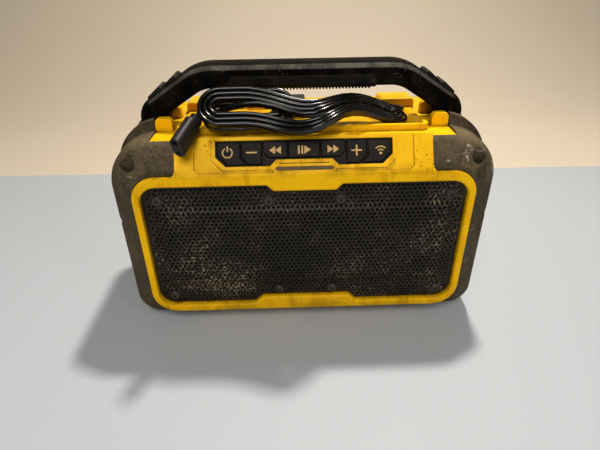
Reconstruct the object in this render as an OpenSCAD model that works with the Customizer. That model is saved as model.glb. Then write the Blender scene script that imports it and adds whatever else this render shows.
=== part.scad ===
// Rugged jobsite loudspeaker: two moulded shells between rubber bumpers, a carrying handle,
// a perforated grille over two drivers, a sloping keypad and a mains lead wound up on the tray.
// Millimetres, +Z up, origin on the floor under the middle, grille towards -Y.

/* [Body] */
// Width over the two bumpers
overall_w = 263; // [258:1:275]
// Depth from the front frame to the rear frame
body_d = 120; // [118:1:128]
// Height of the ridge above the control panel
ridge_z = 147.6; // [146.6:0.2:150]
// Height of the shells' underside
base_z = 8; // [7:0.5:9]
// Depth of the sloping chin under the frames
chin_d = 9; // [7:0.5:11]
// Wall of the moulded shells
wall = 3; // [2.7:0.1:3.3]
// Plane where the front and rear shells meet
split_y = 12; // [11:0.5:15]

/* [Frames] */
// Width of rubber beside the raised frame round the grille
frame_in = 16.9; // [15.5:0.1:18.5]
// Height of the frame's lower edge
frame_z0 = 15; // [14:0.5:17]
// Height of the frame's upper edge, where the control panel starts
frame_z1 = 126; // [124.6:0.2:127]
// Corner radius of the frame
frame_r = 17; // [14:0.5:19]
// Depth of the frame and the wall behind it
frame_t = 8; // [7:0.5:9]
// Width of the frame beside the grille opening
frame_edge = 4.6; // [4.1:0.1:6.6]
// Height of the opening's lower edge
opening_z0 = 20; // [19.5:0.5:22]
// Height of the opening's upper edge
opening_z1 = 118.5; // [116:0.5:119]
// Corner radius of the opening
opening_r = 12; // [9:0.5:14]
// Width of the upper tab in the opening, at its tip
top_tab_w = 41.8; // [36:0.2:46]
// Drop of the upper tab
top_tab_h = 4.3; // [3:0.1:5]
// Width of the lower tab in the opening, at its tip
low_tab_w = 65.4; // [56:0.2:70]
// Rise of the lower tab
low_tab_h = 5.5; // [4:0.1:6]

/* [Bumpers] */
// Radius of the upper corner, seen from the front
bumper_r = 34; // [32:0.5:36]
// Radius of the lower corner, seen from the front
bumper_low_r = 18; // [17:0.5:20]
// Height of the bumpers' underside
bumper_z0 = 4; // [3:0.25:5]
// Thickness of the rubber
bumper_t = 5; // [4.5:0.1:5.5]
// Rounding of the front and rear edges
bumper_edge_r = 10; // [9:0.5:11]
// How far the frame stands proud of the bumper face
bumper_set = 2; // [1.5:0.1:2.5]
// Reach of the bumper's tab across the control panel
tab_in = 47.5; // [44.5:0.5:48.5]
// Reach of the bumper's foot plate under the body
sole_in = 56.5; // [52.5:0.5:59.5]
// Diameter of the moulded dimple at the upper corner
dimple_d = 11; // [8:0.5:12]
// Radius of the tab's lower inner corner
tab_r = 4; // [2:0.5:5]
// Height of the step in the bumper's side
side_step_z = 88; // [80:1:96]
// Depth of the step in the bumper's side
side_step = 1; // [0.6:0.1:1.6]
// Height of the rib that arches over the handle seat
arch_h = 7.4; // [6:0.2:9]

/* [Control panel] */
// Angle of the panel, back from upright
panel_lean = 32; // [30:0.5:34]
// Width of the keypad
keypad_w = 115; // [110:0.5:118]
// Keypad's lower edge, measured up the panel
keypad_s0 = 6.4; // [6:0.1:6.8]
// Keypad's upper edge, measured up the panel
keypad_s1 = 23.2; // [22.4:0.1:23.4]
// Chamfer of the keypad's lower corners
keypad_cut = 6.4; // [4:0.1:8]
// Travel of a button
button_travel = 0.8; // [0.5:0.1:1]
// Gap round a button
button_gap = 0.3; // [0.25:0.05:0.4]
// Web of the bezel between two buttons
button_web = 0.8; // [0.7:0.1:1.2]
// How far the three middle buttons stand proud of the others
raised_h = 0.9; // [0.5:0.1:1.2]
// Width of panel between a bumper's tab and the shallow recess round the keypad
recess_in = 12.5; // [10:0.5:16]
// Width of the raised rim round the keypad
rim_w = 2.4; // [2:0.1:2.8]
// Depth of the recess round the keypad
recess_d = 0.8; // [0.5:0.1:1]
// Length of the light bar
light_w = 37.8; // [30:0.2:42]
// Height of the light bar
light_h = 2.6; // [2:0.1:3]

/* [Grille] */
// Sheet thickness
grille_t = 1.2; // [1:0.1:1.4]
// Spacing of the perforations
hole_pitch = 5.4; // [5.2:0.1:8]
// Diameter of a perforation
hole_d = 3.3; // [2.6:0.1:3.6]
// How far the middle field is pressed forward
press_h = 2.6; // [1.5:0.1:3]
// Width of the flat border at the sides
border_x = 13; // [12:0.5:16]
// Width of the flat border above and below
border_z = 21; // [19:0.5:24]

/* [Drivers] */
// Gap between a driver's flange and the end of the grille opening
driver_side = 4; // [3:0.5:8]
// Height of the drivers' centres
driver_z = 69; // [66:0.5:72]
// Outer diameter of a driver's flange
driver_d = 92; // [90:0.5:96]
// Width of the flange and surround round the moving cone
cone_rim = 16; // [15:0.5:18]
// Depth of a basket
basket_h = 30; // [28:0.5:33]
// Diameter of the magnet
magnet_d = 58; // [50:1:62]
// Diameter of the voice coil
coil_d = 16; // [14:0.5:18]
// Travel of a cone each way
cone_travel = 1.5; // [0.5:0.1:1.8]

/* [Handle] */
// Height of the top of the handle
handle_top = 187.3; // [184:0.2:194]
// Thickness of the handle's bar and legs
handle_h = 15; // [14:0.5:16]
// Depth of the handle, front to rear
handle_d = 23.4; // [22:0.2:24]
// Middle of the handle, front to rear
handle_y = -10.3; // [-11:0.1:-9]
// How far the handle's legs stand in from the bumpers' sides
leg_in = 20.5; // [19.5:0.25:22]
// Run of each shoulder, from the leg's outer face to the straight top
shoulder_run = 40.5; // [39:0.25:45]
// Slope of the shoulders
shoulder_a = 32.6; // [30:0.2:35]
// Chamfer along the handle's upper edges
handle_cut = 2.2; // [1.5:0.1:3]
// How far the soft grip stops short of each shoulder
soft_in = 21; // [18.5:0.5:25.5]
// Spacing of the finger ribs under the grip
rib_pitch = 2.2; // [2:0.1:3]
// Height of the handle seats in the deck
seat_z = 138; // [137:0.25:139]

/* [Tray] */
// Distance of the tray's ends from the bumpers' sides
tray_in = 51.5; // [50.5:0.5:55.5]
// Height of the tray floor
tray_z = 144; // [143.6:0.1:144.6]
// Rear edge of the tray
tray_y1 = 30; // [28:0.5:33]
// Height of the front lip above the ridge
lip_h = 4.1; // [3.5:0.1:4.4]
// Thickness of the front lip
lip_t = 3; // [2.4:0.1:3.2]
// Depth of the ledge in front of the lip
ledge_d = 5.8; // [5:0.1:6.2]

/* [Rear] */
// Width of the battery bay
bay_w = 84; // [78:0.5:88]
// Height of the battery bay's floor
bay_z0 = 38; // [34:0.5:42]
// Height of the battery bay's ceiling
bay_z1 = 120; // [114:0.5:122]
// Depth of the battery bay
bay_d = 26; // [22:0.5:27]
// Width of the port recess
port_w = 34; // [30:0.5:36]
// Height of the port recess
port_h = 22; // [20:0.5:24]
// Depth of the port recess
port_d = 6; // [5.5:0.1:6.2]

/* [Lead] */
// Width of the flat twin lead
lead_w = 5.2; // [5:0.1:5.4]
// Thickness of the flat twin lead
lead_t = 2.9; // [2.7:0.1:3]
// Loops in the wound lead
lead_loops = 6.25; // [4.25, 6.25]
// Step from one loop to the next
loop_step = 3.5; // [3.45:0.05:3.6]

/* [Hidden] */

// Small overlap that lets a cut run clear of a face
cut = 1;
// Gap between pieces that must come apart
fit = 0.3;
// Running clearance of a pin in its bore
pin_fit = 0.05;
// Clearance of a screw in its hole, on the radius
screw_fit = 0.15;

front_y = -body_d / 2;
rear_y = body_d / 2;
side_x = overall_w / 2;
frame_w = overall_w - 2 * frame_in;
opening_w = frame_w - 2 * frame_edge;
tab_x = side_x - tab_in;
sole_x = side_x - sole_in;
recess_x = tab_x - recess_in;
handle_w = overall_w - 2 * leg_in;
grip_w = handle_w - 2 * shoulder_run;
soft_w = grip_w - 2 * soft_in;
tray_x = side_x - tray_in;
driver_x = (opening_w - driver_d) / 2 - driver_side;
ridge_y = front_y + (ridge_z - frame_z1) * tan(panel_lean);
panel_len = (ridge_z - frame_z1) / cos(panel_lean);

// Centres of the bumper's corner arcs, seen from the front
corner_x = side_x - bumper_r;
corner_z = ridge_z - bumper_r;
low_corner_x = side_x - bumper_low_r;
low_corner_z = bumper_z0 + bumper_low_r;
// Where the bumper's rounded edge starts, level with the panel and a little proud of it
bumper_proud = 0.5;
edge_turn = 90 - panel_lean;
edge_y = -ridge_y + bumper_edge_r * ((1 - cos(edge_turn)) * tan(panel_lean) - sin(edge_turn)) + bumper_proud;
bumper_face = body_d / 2 - bumper_set;

// Yellow deck beside the tray, with its pegs
deck_x = corner_x + 2.5;
deck_drop = 1.6;
deck_z = ridge_z - deck_drop;
peg_w = 11.4;
peg_d = 5.7;
peg_h = 9;
peg_r = 3;
peg_x = deck_x - fit - peg_w / 2;

// Handle: outer and inner faces, seats and centre line
handle_y0 = handle_y - handle_d / 2;
handle_y1 = handle_y + handle_d / 2;
leg_x = handle_w / 2 - handle_h / 2;
bar_z = handle_top - handle_h / 2;
shoulder_x = grip_w / 2 - handle_h / 2 * tan(shoulder_a / 2);
elbow_z = bar_z - (leg_x - shoulder_x) * tan(shoulder_a);
shoulder_r = 30;
elbow_r = 9;
bend_steps = 6;
handle_low_cut = 3;
soft_t = 0.8;
soft_rise = 8;
rib_h = 0.8;
boss_h = 12;
boss_rim = 3;

// Front stack, from the frame inwards
grille_back = front_y + 5.8;
baffle_back = front_y + frame_t + 4;
grille_gap = 0.4;
press_slope = 5;
hole_margin = 2.4;
grille_screws_at = [
  for (s = [-1, 1])
    each [
      [s * (opening_w / 2 - 10.6), opening_z1 - 11.2],
      [s * (top_tab_w / 2 + 3.5), opening_z1 - top_tab_h - 8.4],
      [s * (opening_w / 2 - 10.7), opening_z0 + 7],
      [s * (low_tab_w / 2 - 12.7), opening_z0 + low_tab_h + 4.5]
    ]
];
screw_head_d = 7;
screw_head_h = 1.6;
screw_d = 3.5;

// Cone and basket of a driver
roll_w = 6.7;
basket_lip = 2.5;
cone_d = driver_d - 2 * cone_rim;
basket_neck = (cone_d + cone_rim) / 2;
basket_tail = magnet_d / 2 - 5;
basket_web = 2;

// Control stack, measured into the panel
bezel_set = 0.6;
bezel_flange = 1.6;
bezel_rim = 2;
bezel_back = wall + bezel_flange;
bezel_edge = 1;
button_face = 0.2;
button_lip = 1;
button_lip_rim = 0.55;
switch_gap = 0.3;
board_t = 1.6;
switch_h = 1.4;
board_y = bezel_back + fit + button_lip + button_travel + switch_gap + switch_h;
// Yellow tab with the light bar, which the keypad's lower edge steps round
light_tab_w = 36.4;
light_tab_h = 4.2;
light_s = keypad_s0 - 1.9;
// Edges of the seven buttons, from the left
button_edges = [-keypad_w / 2, -41, -27, -10.5, 10.5, 27, 41, keypad_w / 2];
button_is_raised = [false, false, true, true, true, false, false];
// Slant at the foot of the volume keys, and chamfer at the outer ends of the raised keys
key_slant = 4.6;
raised_cut = 3.4;

// Housing screws, posts and the boards' posts
post_x = side_x - 25.5;
post_z = [30, 106];
post_d = 9;
post_y = -10;
post_rib_t = 4;
post_rib_w = side_x - bumper_t - 1 - post_x;
head_d = 7.5;
head_h = 3;
post_hole_l = 22;

// Battery bay, ports and inlet on the rear
bay_y = rear_y - bay_d;
bay_wall = 3;
rail_d = 6;
rail_h = 5;
rail_y = rear_y - 15;
end_run = 51.5;
port_x = side_x - end_run;
port_z = 96;
inlet_x = -port_x;
inlet_z = 96;
inlet_w = 24;
inlet_h = 15;
inlet_d = 9;
socket_w = 14.4;
socket_h = 8.2;
socket_pitch = 8.6;
pin_d = 2.4;
board_gap = 8;
main_y = bay_y - bay_wall - board_gap;
board_head_d = 5;
board_head_h = 1.4;
board_screw_d = 2.4;
board_screw_l = 5;
board_post_d = 7;

// Amplifier block, capacitors and chip on the main board
amp = [28, 7, 20];
amp_rise = 16;
can_d = 8;
can_h = 10;
can_rise = 48;
can_x = [-30, -21, 21, 30];
chip = [16, 2, 16];
chip_x = 18;
chip_rise = 18;

// Mains converter: its board, transformer and two capacitors
supply = [46, 3, 40];
supply_gap = 4;
supply_z = post_z[0] + post_d / 2 + 1;
supply_core = [22, 20, 28];
supply_core_x = 5;
supply_core_rise = 6;
supply_can_d = 11;
supply_can_h = 18;
supply_can_x = 9;
supply_can_rise = [8, 22];

// Terminal block in the battery bay and its blades
block_w = 40;
block_h = 26;
block_d = 14;
blade_t = 0.8;
blade_w = 7;
blade_pitch = 7;
blade_set = 3;
blade_root = 4;
blade_out = 12;

// Sockets behind the port door, and the door's hinge
port_block_w = 26;
port_block_h = 10;
port_block_rise = 2;
jack_d = 3.6;
jack_x = -7;
usb_w = 12;
usb_h = 5;
usb_x = -1;
usb_rise = 2.4;
socket_depth = 6;
hinge_r = 2;
hinge_pin_d = 2;
hinge_in = 3;
door_t = 2.4;

// Wound lead: short loops at the left, leaning on the handle, and long loops over them
// that sag across the lip and end in the tray at the right. Pairs are [short loops, long loops].
fold_l = [-53.5, -53];
fold_r = [-18, 60];
run_rear = [13.5, 14.5];
run_front = [14.5, 13.5];
lift_x = -42;
lift_h = 3.5;
sag_x = [-38, 8, 56];
sag_rear = 12;
sag_front = 10.5;
hank_y = -40.6;
hank_z = 163.2;
hank_tilt = 42;
// Where the loops slide back, sink and flatten towards the tray, from x to x, and by how much
hank_slide = [5, 48, 18];
hank_sink = [20, 76, -16.2];
hank_flat = [-18, 30, -34];
// How fast the lead climbs to the long loops and takes their shape, and how far it keeps clear
climb = 14;
reshape = 8;
climb_in = 0.6;
layer_gap = 0.7;
ring_steps = 8;
tail_d = lead_t + 0.6;
tail_gap = 0.02;
// Connector: end of its strain relief, and the way it points
connector_at = [-68.5, -40, 158.7];
connector_axis = [-0.32, -0.87, -0.38];
connector_l = 29;
relief_l = 7;
// Free points of the lead between the connector and the wound loops
tail_points = [[-66.5, -31, 161.8], [-65, -27, 164.5], [-61, -25.2, 168.3]];
// Free points of the lead between the wound loops and its plug
plug_points = [
  [71.5, -4.5, 150.6], [74.5, 2, 149], [70, 7.5, 149], [60, 9.5, 149],
  [50, 12, 149], [38, 13, 149.5], [26, 14, 150.5]
];
plug_at = [12, 14, 151];
plug_w = 22;
plug_h = 13;
plug_l = 34;
plug_pin_d = 4;
plug_pin_l = 18;

function lerp(a, b, t) = a + (b - a) * t;
function smooth(t) = let (c = min(1, max(0, t))) c * c * (3 - 2 * c);

// Extrudes a front view (x, z) from y0 to y1.
module along_y(y0, y1) {
  translate([0, y1, 0]) rotate([90, 0, 0]) linear_extrude(y1 - y0) children();
}

// Extrudes a side view (y, z) from x0 to x1.
module along_x(x0, x1) {
  translate([x0, 0, 0]) rotate([90, 0, 90]) linear_extrude(x1 - x0) children();
}

// Lays a shape on the control panel: x across, y into the body, z up the slope.
module on_panel() {
  translate([0, front_y, frame_z1]) rotate([-panel_lean, 0, 0]) children();
}

// Rectangle about x = 0 with an upper and a lower corner radius.
module plate(half_w, z0, z1, r_top, r_low) {
  translate([-half_w, z0 + r_low]) square([2 * half_w, z1 - r_top - z0 - r_low]);
  translate([r_top - half_w, z1 - r_top - cut]) square([2 * (half_w - r_top), r_top + cut]);
  translate([r_low - half_w, z0]) square([2 * (half_w - r_low), r_low + cut]);
  for (s = [-1, 1]) {
    translate([s * (half_w - r_top), z1 - r_top]) circle(r_top, $fn = 64);
    translate([s * (half_w - r_low), z0 + r_low]) circle(r_low, $fn = 64);
  }
}

// Round bar along Y.
module rod_y(d, y0, y1) {
  translate([0, y1, 0]) rotate([90, 0, 0]) cylinder(d = d, h = y1 - y0, $fn = 48);
}

// Section of the bumper from its corner centre outwards, inset by i.
module bumper_section(r, i) {
  arc_r = bumper_edge_r - i;
  arc_c = r - bumper_edge_r;
  steps = 5;
  face = bumper_face - i;
  arc = [
    for (k = [0:steps])
      let (a = edge_turn * k / steps)
      [arc_c + arc_r * cos(a), edge_y + arc_r * sin(a)]
  ];
  turn = arc[steps];
  flat_r = max(0, turn[0] - (face - turn[1]) / tan(panel_lean));
  flat_y = turn[1] + (turn[0] - flat_r) * tan(panel_lean);
  half = concat(arc, [[flat_r, flat_y], if (flat_r > 0) [0, flat_y]]);
  polygon(concat([for (p = half) p], [for (k = [len(half) - 1:-1:0]) [half[k][0], -half[k][1]]]));
}

// One end of the body, the bumper's outer form inset by i, from x_top inwards above and x_low below.
module end_form(i, x_top, x_low) {
  translate([corner_x, 0, corner_z]) rotate([90, 0, 0])
    rotate_extrude(angle = 90, $fn = 96) bumper_section(bumper_r, i);
  translate([low_corner_x, 0, low_corner_z]) rotate([90, 90, 0])
    rotate_extrude(angle = 90, $fn = 96) bumper_section(bumper_low_r, i);
  translate([corner_x, 0, low_corner_z])
    linear_extrude(corner_z - low_corner_z) bumper_section(bumper_r, i);
  translate([corner_x, 0, corner_z]) rotate([0, -90, 0])
    linear_extrude(corner_x - x_top) bumper_section(bumper_r, i);
  translate([x_low, 0, low_corner_z]) rotate([0, 90, 0])
    linear_extrude(low_corner_x - x_low) bumper_section(bumper_low_r, i);
  translate([x_top, i - bumper_face, low_corner_z])
    cube([corner_x - x_top, 2 * (bumper_face - i), corner_z - low_corner_z]);
}

module both_sides() {
  children();
  mirror([1, 0, 0]) children();
}

// Side view of the body between the bumpers.
module body_side() {
  polygon([
    [front_y, frame_z0], [front_y, frame_z1], [ridge_y, ridge_z],
    [-ridge_y, ridge_z], [rear_y, frame_z1], [rear_y, frame_z0],
    [rear_y - chin_d, base_z], [front_y + chin_d, base_z]
  ]);
}

// Side view of the hollow between the bumpers.
module hollow_side() {
  lean_in = frame_t / cos(panel_lean);
  top_z = tray_z - wall - 3.5;
  top_y = front_y + lean_in + (top_z - frame_z1) * tan(panel_lean);
  foot_z = frame_z1 - (lean_in - frame_t) / tan(panel_lean);
  floor_z = base_z + wall + 4;
  polygon([
    [front_y + frame_t, floor_z], [front_y + frame_t, foot_z], [top_y, top_z],
    [-top_y, top_z], [rear_y - frame_t, foot_z], [rear_y - frame_t, floor_z]
  ]);
}

// Outer form of the two shells together.
module body_form() {
  along_x(-tab_x, tab_x) body_side();
  both_sides() end_form(bumper_t, tab_x - cut, tab_x - cut);
  along_y(front_y, rear_y) plate(frame_w / 2, frame_z0, frame_z1, frame_r, frame_r);
  both_sides() {
    tab_corner();
    mirror([0, 1, 0]) tab_corner();
  }
  along_x(-deck_x, deck_x)
    polygon([[ridge_y, frame_z1], [ridge_y, deck_z], [-ridge_y, deck_z], [-ridge_y, frame_z1]]);
}

module body_hollow() {
  along_x(-tab_x + wall, tab_x - wall) hollow_side();
  both_sides() end_form(bumper_t + wall, tab_x - 2 * wall, tab_x - 2 * wall);
  along_y(front_y + frame_t, rear_y - frame_t) baffle_outline(-2 * fit);
}

// Shallow tray on the deck, between the lip and the rear ridge.
module tray_space() {
  y0 = ridge_y + ledge_d + lip_t;
  slope = 5;
  along_y(y0, tray_y1)
    polygon([
      [-tray_x + slope, tray_z], [tray_x - slope, tray_z],
      [tray_x, ridge_z + cut], [-tray_x, ridge_z + cut]
    ]);
}

// Front lip of the tray, turning back at its ends.
module tray_lip() {
  lip_x = tray_x + lip_t;
  y0 = ridge_y + ledge_d;
  lip_back = 9;
  lip_r = 5;
  root = 6;
  translate([0, 0, ridge_z - root]) linear_extrude(root + lip_h) difference() {
    plate(lip_x, y0, y0 + lip_back, lip_t / 2, lip_r);
    plate(lip_x - lip_t, y0 + lip_t, y0 + lip_back + 2 * cut, cut / 2, lip_r - lip_t);
  }
}

// Seat in the deck for one handle leg.
module handle_seat() {
  translate([leg_x - handle_h / 2 - fit, handle_y0 - fit, seat_z])
    cube([handle_h + 2 * fit, handle_d + 2 * fit, handle_top - seat_z]);
}

module handle_boss() {
  intersection() {
    translate([leg_x - handle_h / 2 - boss_rim, handle_y0 - boss_rim, seat_z - boss_h])
      cube([handle_h + 2 * boss_rim, handle_d + 2 * boss_rim, boss_h + deck_z - wall / 2 - seat_z]);
    end_form(bumper_t, tab_x - cut, tab_x - cut);
  }
}

// Places of the two screws in each handle leg.
module at_handle_screws() {
  for (s = [-1, 1], k = [-1, 1])
    translate([s * leg_x, handle_y + k * handle_d / 4, 0]) children();
}

// Yellow pegs in front of and behind each handle leg.
module peg(y0) {
  translate([peg_x, 0, 0]) along_y(y0, y0 + peg_d)
    plate(peg_w / 2, deck_z - 2 * peg_r, deck_z + peg_h, peg_r, peg_r);
}

module pegs() {
  peg(handle_y0 - fit - peg_d);
  peg(handle_y1 + fit);
}

// Raised block at each rear corner of the tray.
module rear_block() {
  block_h = 8;
  run = 7;
  x1 = tab_x + 2;
  x0 = x1 - 24;
  along_y(split_y + 2, tray_y1 + 4)
    polygon([[x0 - run, tray_z - wall], [x0, deck_z + block_h], [x1, deck_z + block_h], [x1, tray_z - wall]]);
}

// Front view of the grille opening, shrunk by g.
module opening(g) {
  top = opening_z1 - g;
  low = opening_z0 + g;
  tip = top_tab_w / 2 + g;
  low_tip = low_tab_w / 2 + g;
  difference() {
    plate(opening_w / 2 - g, low, top, opening_r - g, opening_r - g);
    polygon([
      [-tip - top_tab_h - cut, top + cut], [-tip, top - top_tab_h],
      [tip, top - top_tab_h], [tip + top_tab_h + cut, top + cut]
    ]);
    polygon([
      [-low_tip - low_tab_h - cut, low - cut], [-low_tip, low + low_tab_h],
      [low_tip, low + low_tab_h], [low_tip + low_tab_h + cut, low - cut]
    ]);
  }
}

// Front view of the baffle's flange behind the frame, shrunk by g.
module baffle_outline(g) {
  rim = 3 - g;
  plate(opening_w / 2 + rim, opening_z0 - rim, opening_z1 + rim, opening_r + rim, opening_r + rim);
}

// Keypad's outline on the panel (x, up the slope), shrunk by g.
module keypad_outline(g) {
  x1 = keypad_w / 2 - g;
  s0 = keypad_s0 + g;
  s1 = keypad_s1 - g;
  tab = light_tab_w / 2 + g;
  rise = light_tab_h;
  polygon([
    [-x1, s0 + keypad_cut], [-x1 + keypad_cut, s0], [-tab - rise, s0], [-tab, s0 + rise],
    [tab, s0 + rise], [tab + rise, s0], [x1 - keypad_cut, s0], [x1, s0 + keypad_cut],
    [x1, s1], [-x1, s1]
  ]);
}

module light_outline(g) {
  r = light_h / 2 - g;
  translate([0, light_s]) {
    square([light_w - light_h, 2 * r], center = true);
    for (s = [-1, 1]) translate([s * (light_w - light_h) / 2, 0]) circle(r, $fn = 32);
  }
}

// Shallow recess in the panel round the rim of the keypad and light bar, open at the ridge.
module panel_recess() {
  foot = light_s - light_h;
  corner = 3;
  on_panel() along_y(-cut, recess_d) difference() {
    polygon([
      [-recess_x, panel_len + 2 * cut], [-recess_x, foot + corner], [corner - recess_x, foot],
      [recess_x - corner, foot], [recess_x, foot + corner], [recess_x, panel_len + 2 * cut]
    ]);
    keypad_outline(-rim_w);
    light_outline(-rim_w * 3 / 4);
  }
}

// Fills the lower inner corner of a bumper's tab to a radius.
module tab_corner() {
  intersection() {
    on_panel() along_y(-bumper_proud, bumper_t) difference() {
      translate([tab_x - cut, -cut]) square(tab_r + cut);
      translate([tab_x + tab_r, tab_r]) circle(tab_r, $fn = 48);
    }
    translate([0, front_y, 0]) cube([side_x, body_d, ridge_z]);
  }
}

// Space behind the panel for the keypad and its board.
module panel_space() {
  space_x = keypad_w / 2 + 5;
  space_d = 14;
  on_panel() translate([-space_x, wall, 2]) cube([2 * space_x, space_d - wall, keypad_s1 - 1]);
}

module housing_posts(y0, y1, d) {
  for (s = [-1, 1], z = post_z) translate([s * post_x, 0, z]) rod_y(d, y0, y1);
}

module front_shell() {
  end_face = rear_y - frame_t;
  color("goldenrod") difference() {
    union() {
      difference() {
        body_form();
        body_hollow();
        translate([-side_x, split_y, 0]) cube([overall_w, body_d, handle_top]);
      }
      tray_lip();
      both_sides() {
        pegs();
        handle_boss();
      }
      housing_posts(post_y, end_face, post_d);
      for (s = [-1, 1], z = post_z)
        translate([s * (post_x + post_rib_w / 2), (post_y + split_y) / 2, z])
          cube([post_rib_w, split_y - post_y, post_rib_t], center = true);
    }
    tray_space();
    both_sides() handle_seat();
    at_handle_screws() cylinder(d = screw_d + 2 * screw_fit, h = handle_top, $fn = 32);
    along_y(front_y - cut, front_y + frame_t + cut) opening(0);
    panel_space();
    panel_recess();
    on_panel() along_y(-cut, wall + cut) {
      keypad_outline(0);
      light_outline(0);
    }
    housing_posts(end_face - post_hole_l, end_face + cut, screw_d + 2 * screw_fit);
  }
}

// Groove and ring between the two shells' rims.
module seal_ring(gap) {
  seal_t = 1.4;
  seal_in = bumper_t + wall;
  ring = 1.1;
  low = low_corner_z - bumper_low_r + seal_in;
  r = bumper_r - seal_in;
  r_low = bumper_low_r - seal_in;
  along_y(split_y, split_y + seal_t) difference() {
    plate(side_x - seal_in + 2 * ring + gap, low - 2 * ring - gap, ridge_z - seal_in + 2 * ring + gap,
          r + 2 * ring + gap, r_low + 2 * ring + gap);
    plate(side_x - seal_in + ring - gap, low - ring + gap, ridge_z - seal_in + ring - gap,
          r + ring - gap, r_low + ring - gap);
  }
}

module shell_seal() {
  color("dimgray") seal_ring(0);
}

module bay_box(g) {
  translate([-bay_w / 2 - g, bay_y - g, bay_z0 - g])
    cube([bay_w + 2 * g, bay_d + 2 * g, bay_z1 - bay_z0 + 2 * g]);
}

module bay_rails() {
  both_sides() translate([bay_w / 2 - rail_d, rail_y, bay_z0]) cube([rail_d, rail_h, bay_z1 - bay_z0]);
}

module port_box(g, y0) {
  translate([port_x - port_w / 2 - g, y0, port_z - port_h / 2 - g])
    cube([port_w + 2 * g, rear_y - y0 + cut, port_h + 2 * g]);
}

module at_board_posts() {
  for (s = [-1, 1], z = [bay_z0 + 14, bay_z1 - 8]) translate([s * (bay_w / 2 - 5), 0, z]) children();
}

module rear_shell() {
  port_y = rear_y - port_d;
  hinge_z = port_z - port_h / 2 + hinge_r + fit;
  color("goldenrod") difference() {
    union() {
      difference() {
        body_form();
        body_hollow();
        tray_space();
        translate([-side_x, split_y - body_d, 0]) cube([overall_w, body_d, handle_top]);
      }
      difference() {
        union() {
          bay_box(bay_wall);
          both_sides() rear_block();
        }
        translate([-side_x, rear_y - cut, 0]) cube([overall_w, body_d, handle_top]);
      }
      at_board_posts() rod_y(board_post_d, main_y + board_t, bay_y - bay_wall + cut);
    }
    difference() {
      bay_box(0);
      bay_rails();
    }
    translate([-bay_w / 2, rear_y - cut, bay_z0]) cube([bay_w, 2 * cut, bay_z1 - bay_z0]);
    port_box(0, port_y);
    translate([port_x, 0, hinge_z]) along_x(-port_w / 2 - hinge_in, port_w / 2 + hinge_in)
      translate([rear_y - hinge_r - fit, 0]) circle(hinge_pin_d / 2, $fn = 32);
    translate([port_x - port_block_w / 2 - fit, port_y - frame_t, 0])
      translate([0, 0, port_z + port_block_rise - port_block_h / 2])
        cube([port_block_w + 2 * fit, frame_t + cut, port_block_h]);
    translate([inlet_x - inlet_w / 2, rear_y - frame_t - cut, inlet_z - inlet_h / 2])
      cube([inlet_w, frame_t + 2 * cut, inlet_h]);
    seal_ring(0);
    housing_posts(rear_y - frame_t - 2 * cut, rear_y + cut, screw_d + 2 * screw_fit);
    housing_posts(rear_y - head_h, rear_y + cut, head_d + 2 * screw_fit);
    at_board_posts() rod_y(board_screw_d + 2 * screw_fit, main_y - cut, bay_y - bay_wall - cut);
  }
}

// Rubber bumper for the right end.
module bumper() {
  arch_c = [corner_x - 4, corner_z + 6.4];
  arch_r = bumper_r + 1.5;
  arch_span = [15, 82];
  notch_h = 5;
  notch_d = 2.4;
  difference() {
    union() {
      difference() {
        end_form(0, tab_x, sole_x);
        body_form();
        translate([tab_x - cut, ridge_y, deck_z - 2 * bumper_t])
          cube([deck_x - tab_x + cut, -2 * ridge_y, 3 * bumper_t]);
      }
      for (y0 = [handle_y0 - fit - peg_d, handle_y1 + fit])
        difference() {
          translate([arch_c[0], y0 + peg_d, arch_c[1]]) rotate([90, 0, 0])
            rotate([0, 0, arch_span[0]])
              rotate_extrude(angle = arch_span[1] - arch_span[0], $fn = 96)
                translate([arch_r - arch_h, 0]) square([arch_h, peg_d]);
          body_form();
          translate([0, y0 - cut, deck_z - cut]) cube([deck_x, peg_d + 2 * cut, 3 * arch_h]);
        }
    }
    handle_seat();
    translate([corner_x + 18, 0, corner_z + 19.4]) rod_y(dimple_d, front_y, ridge_y - 3);
    translate([side_x - side_step, front_y, low_corner_z])
      cube([cut + side_step, body_d, side_step_z - low_corner_z]);
    translate([side_x - notch_d, front_y, side_step_z - notch_h / 2])
      cube([cut + notch_d, body_d, notch_h]);
  }
}

module left_bumper() {
  color("#5a5248") mirror([1, 0, 0]) bumper();
}

module right_bumper() {
  color("#5a5248") bumper();
}

module feet() {
  foot_w = 36;
  foot_d = 18;
  foot_r = 6;
  color("#3a352f")
    for (s = [-1, 1], t = [-1, 1])
      translate([s * (sole_x + foot_w / 2 + 4), t * (edge_y - foot_d / 2 - 1) - foot_d / 2, 0])
        linear_extrude(bumper_z0) plate(foot_w / 2, 0, foot_d, foot_r, foot_r);
}

// Stations of the handle's centre line, [x, z, direction], from the right foot to the left one.
function bend(p, a0, a1, r) =
  let (
    turn = a1 - a0,
    run = r * tan(abs(turn) / 2),
    start = p - run * [cos(a0), sin(a0)],
    side = turn > 0 ? 1 : -1,
    c = start + side * r * [-sin(a0), cos(a0)]
  )
  [
    for (k = [0:bend_steps])
      let (a = a0 + turn * k / bend_steps)
      concat(c + side * r * [sin(a), -cos(a)], [a])
  ];

function handle_path() =
  concat(
    [[leg_x, seat_z, 90]],
    bend([leg_x, elbow_z], 90, 180 - shoulder_a, elbow_r),
    bend([shoulder_x, bar_z], 180 - shoulder_a, 180, shoulder_r),
    bend([-shoulder_x, bar_z], 180, 180 + shoulder_a, shoulder_r),
    bend([-leg_x, elbow_z], 180 + shoulder_a, 270, elbow_r),
    [[-leg_x, seat_z, 270]]
  );

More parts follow.
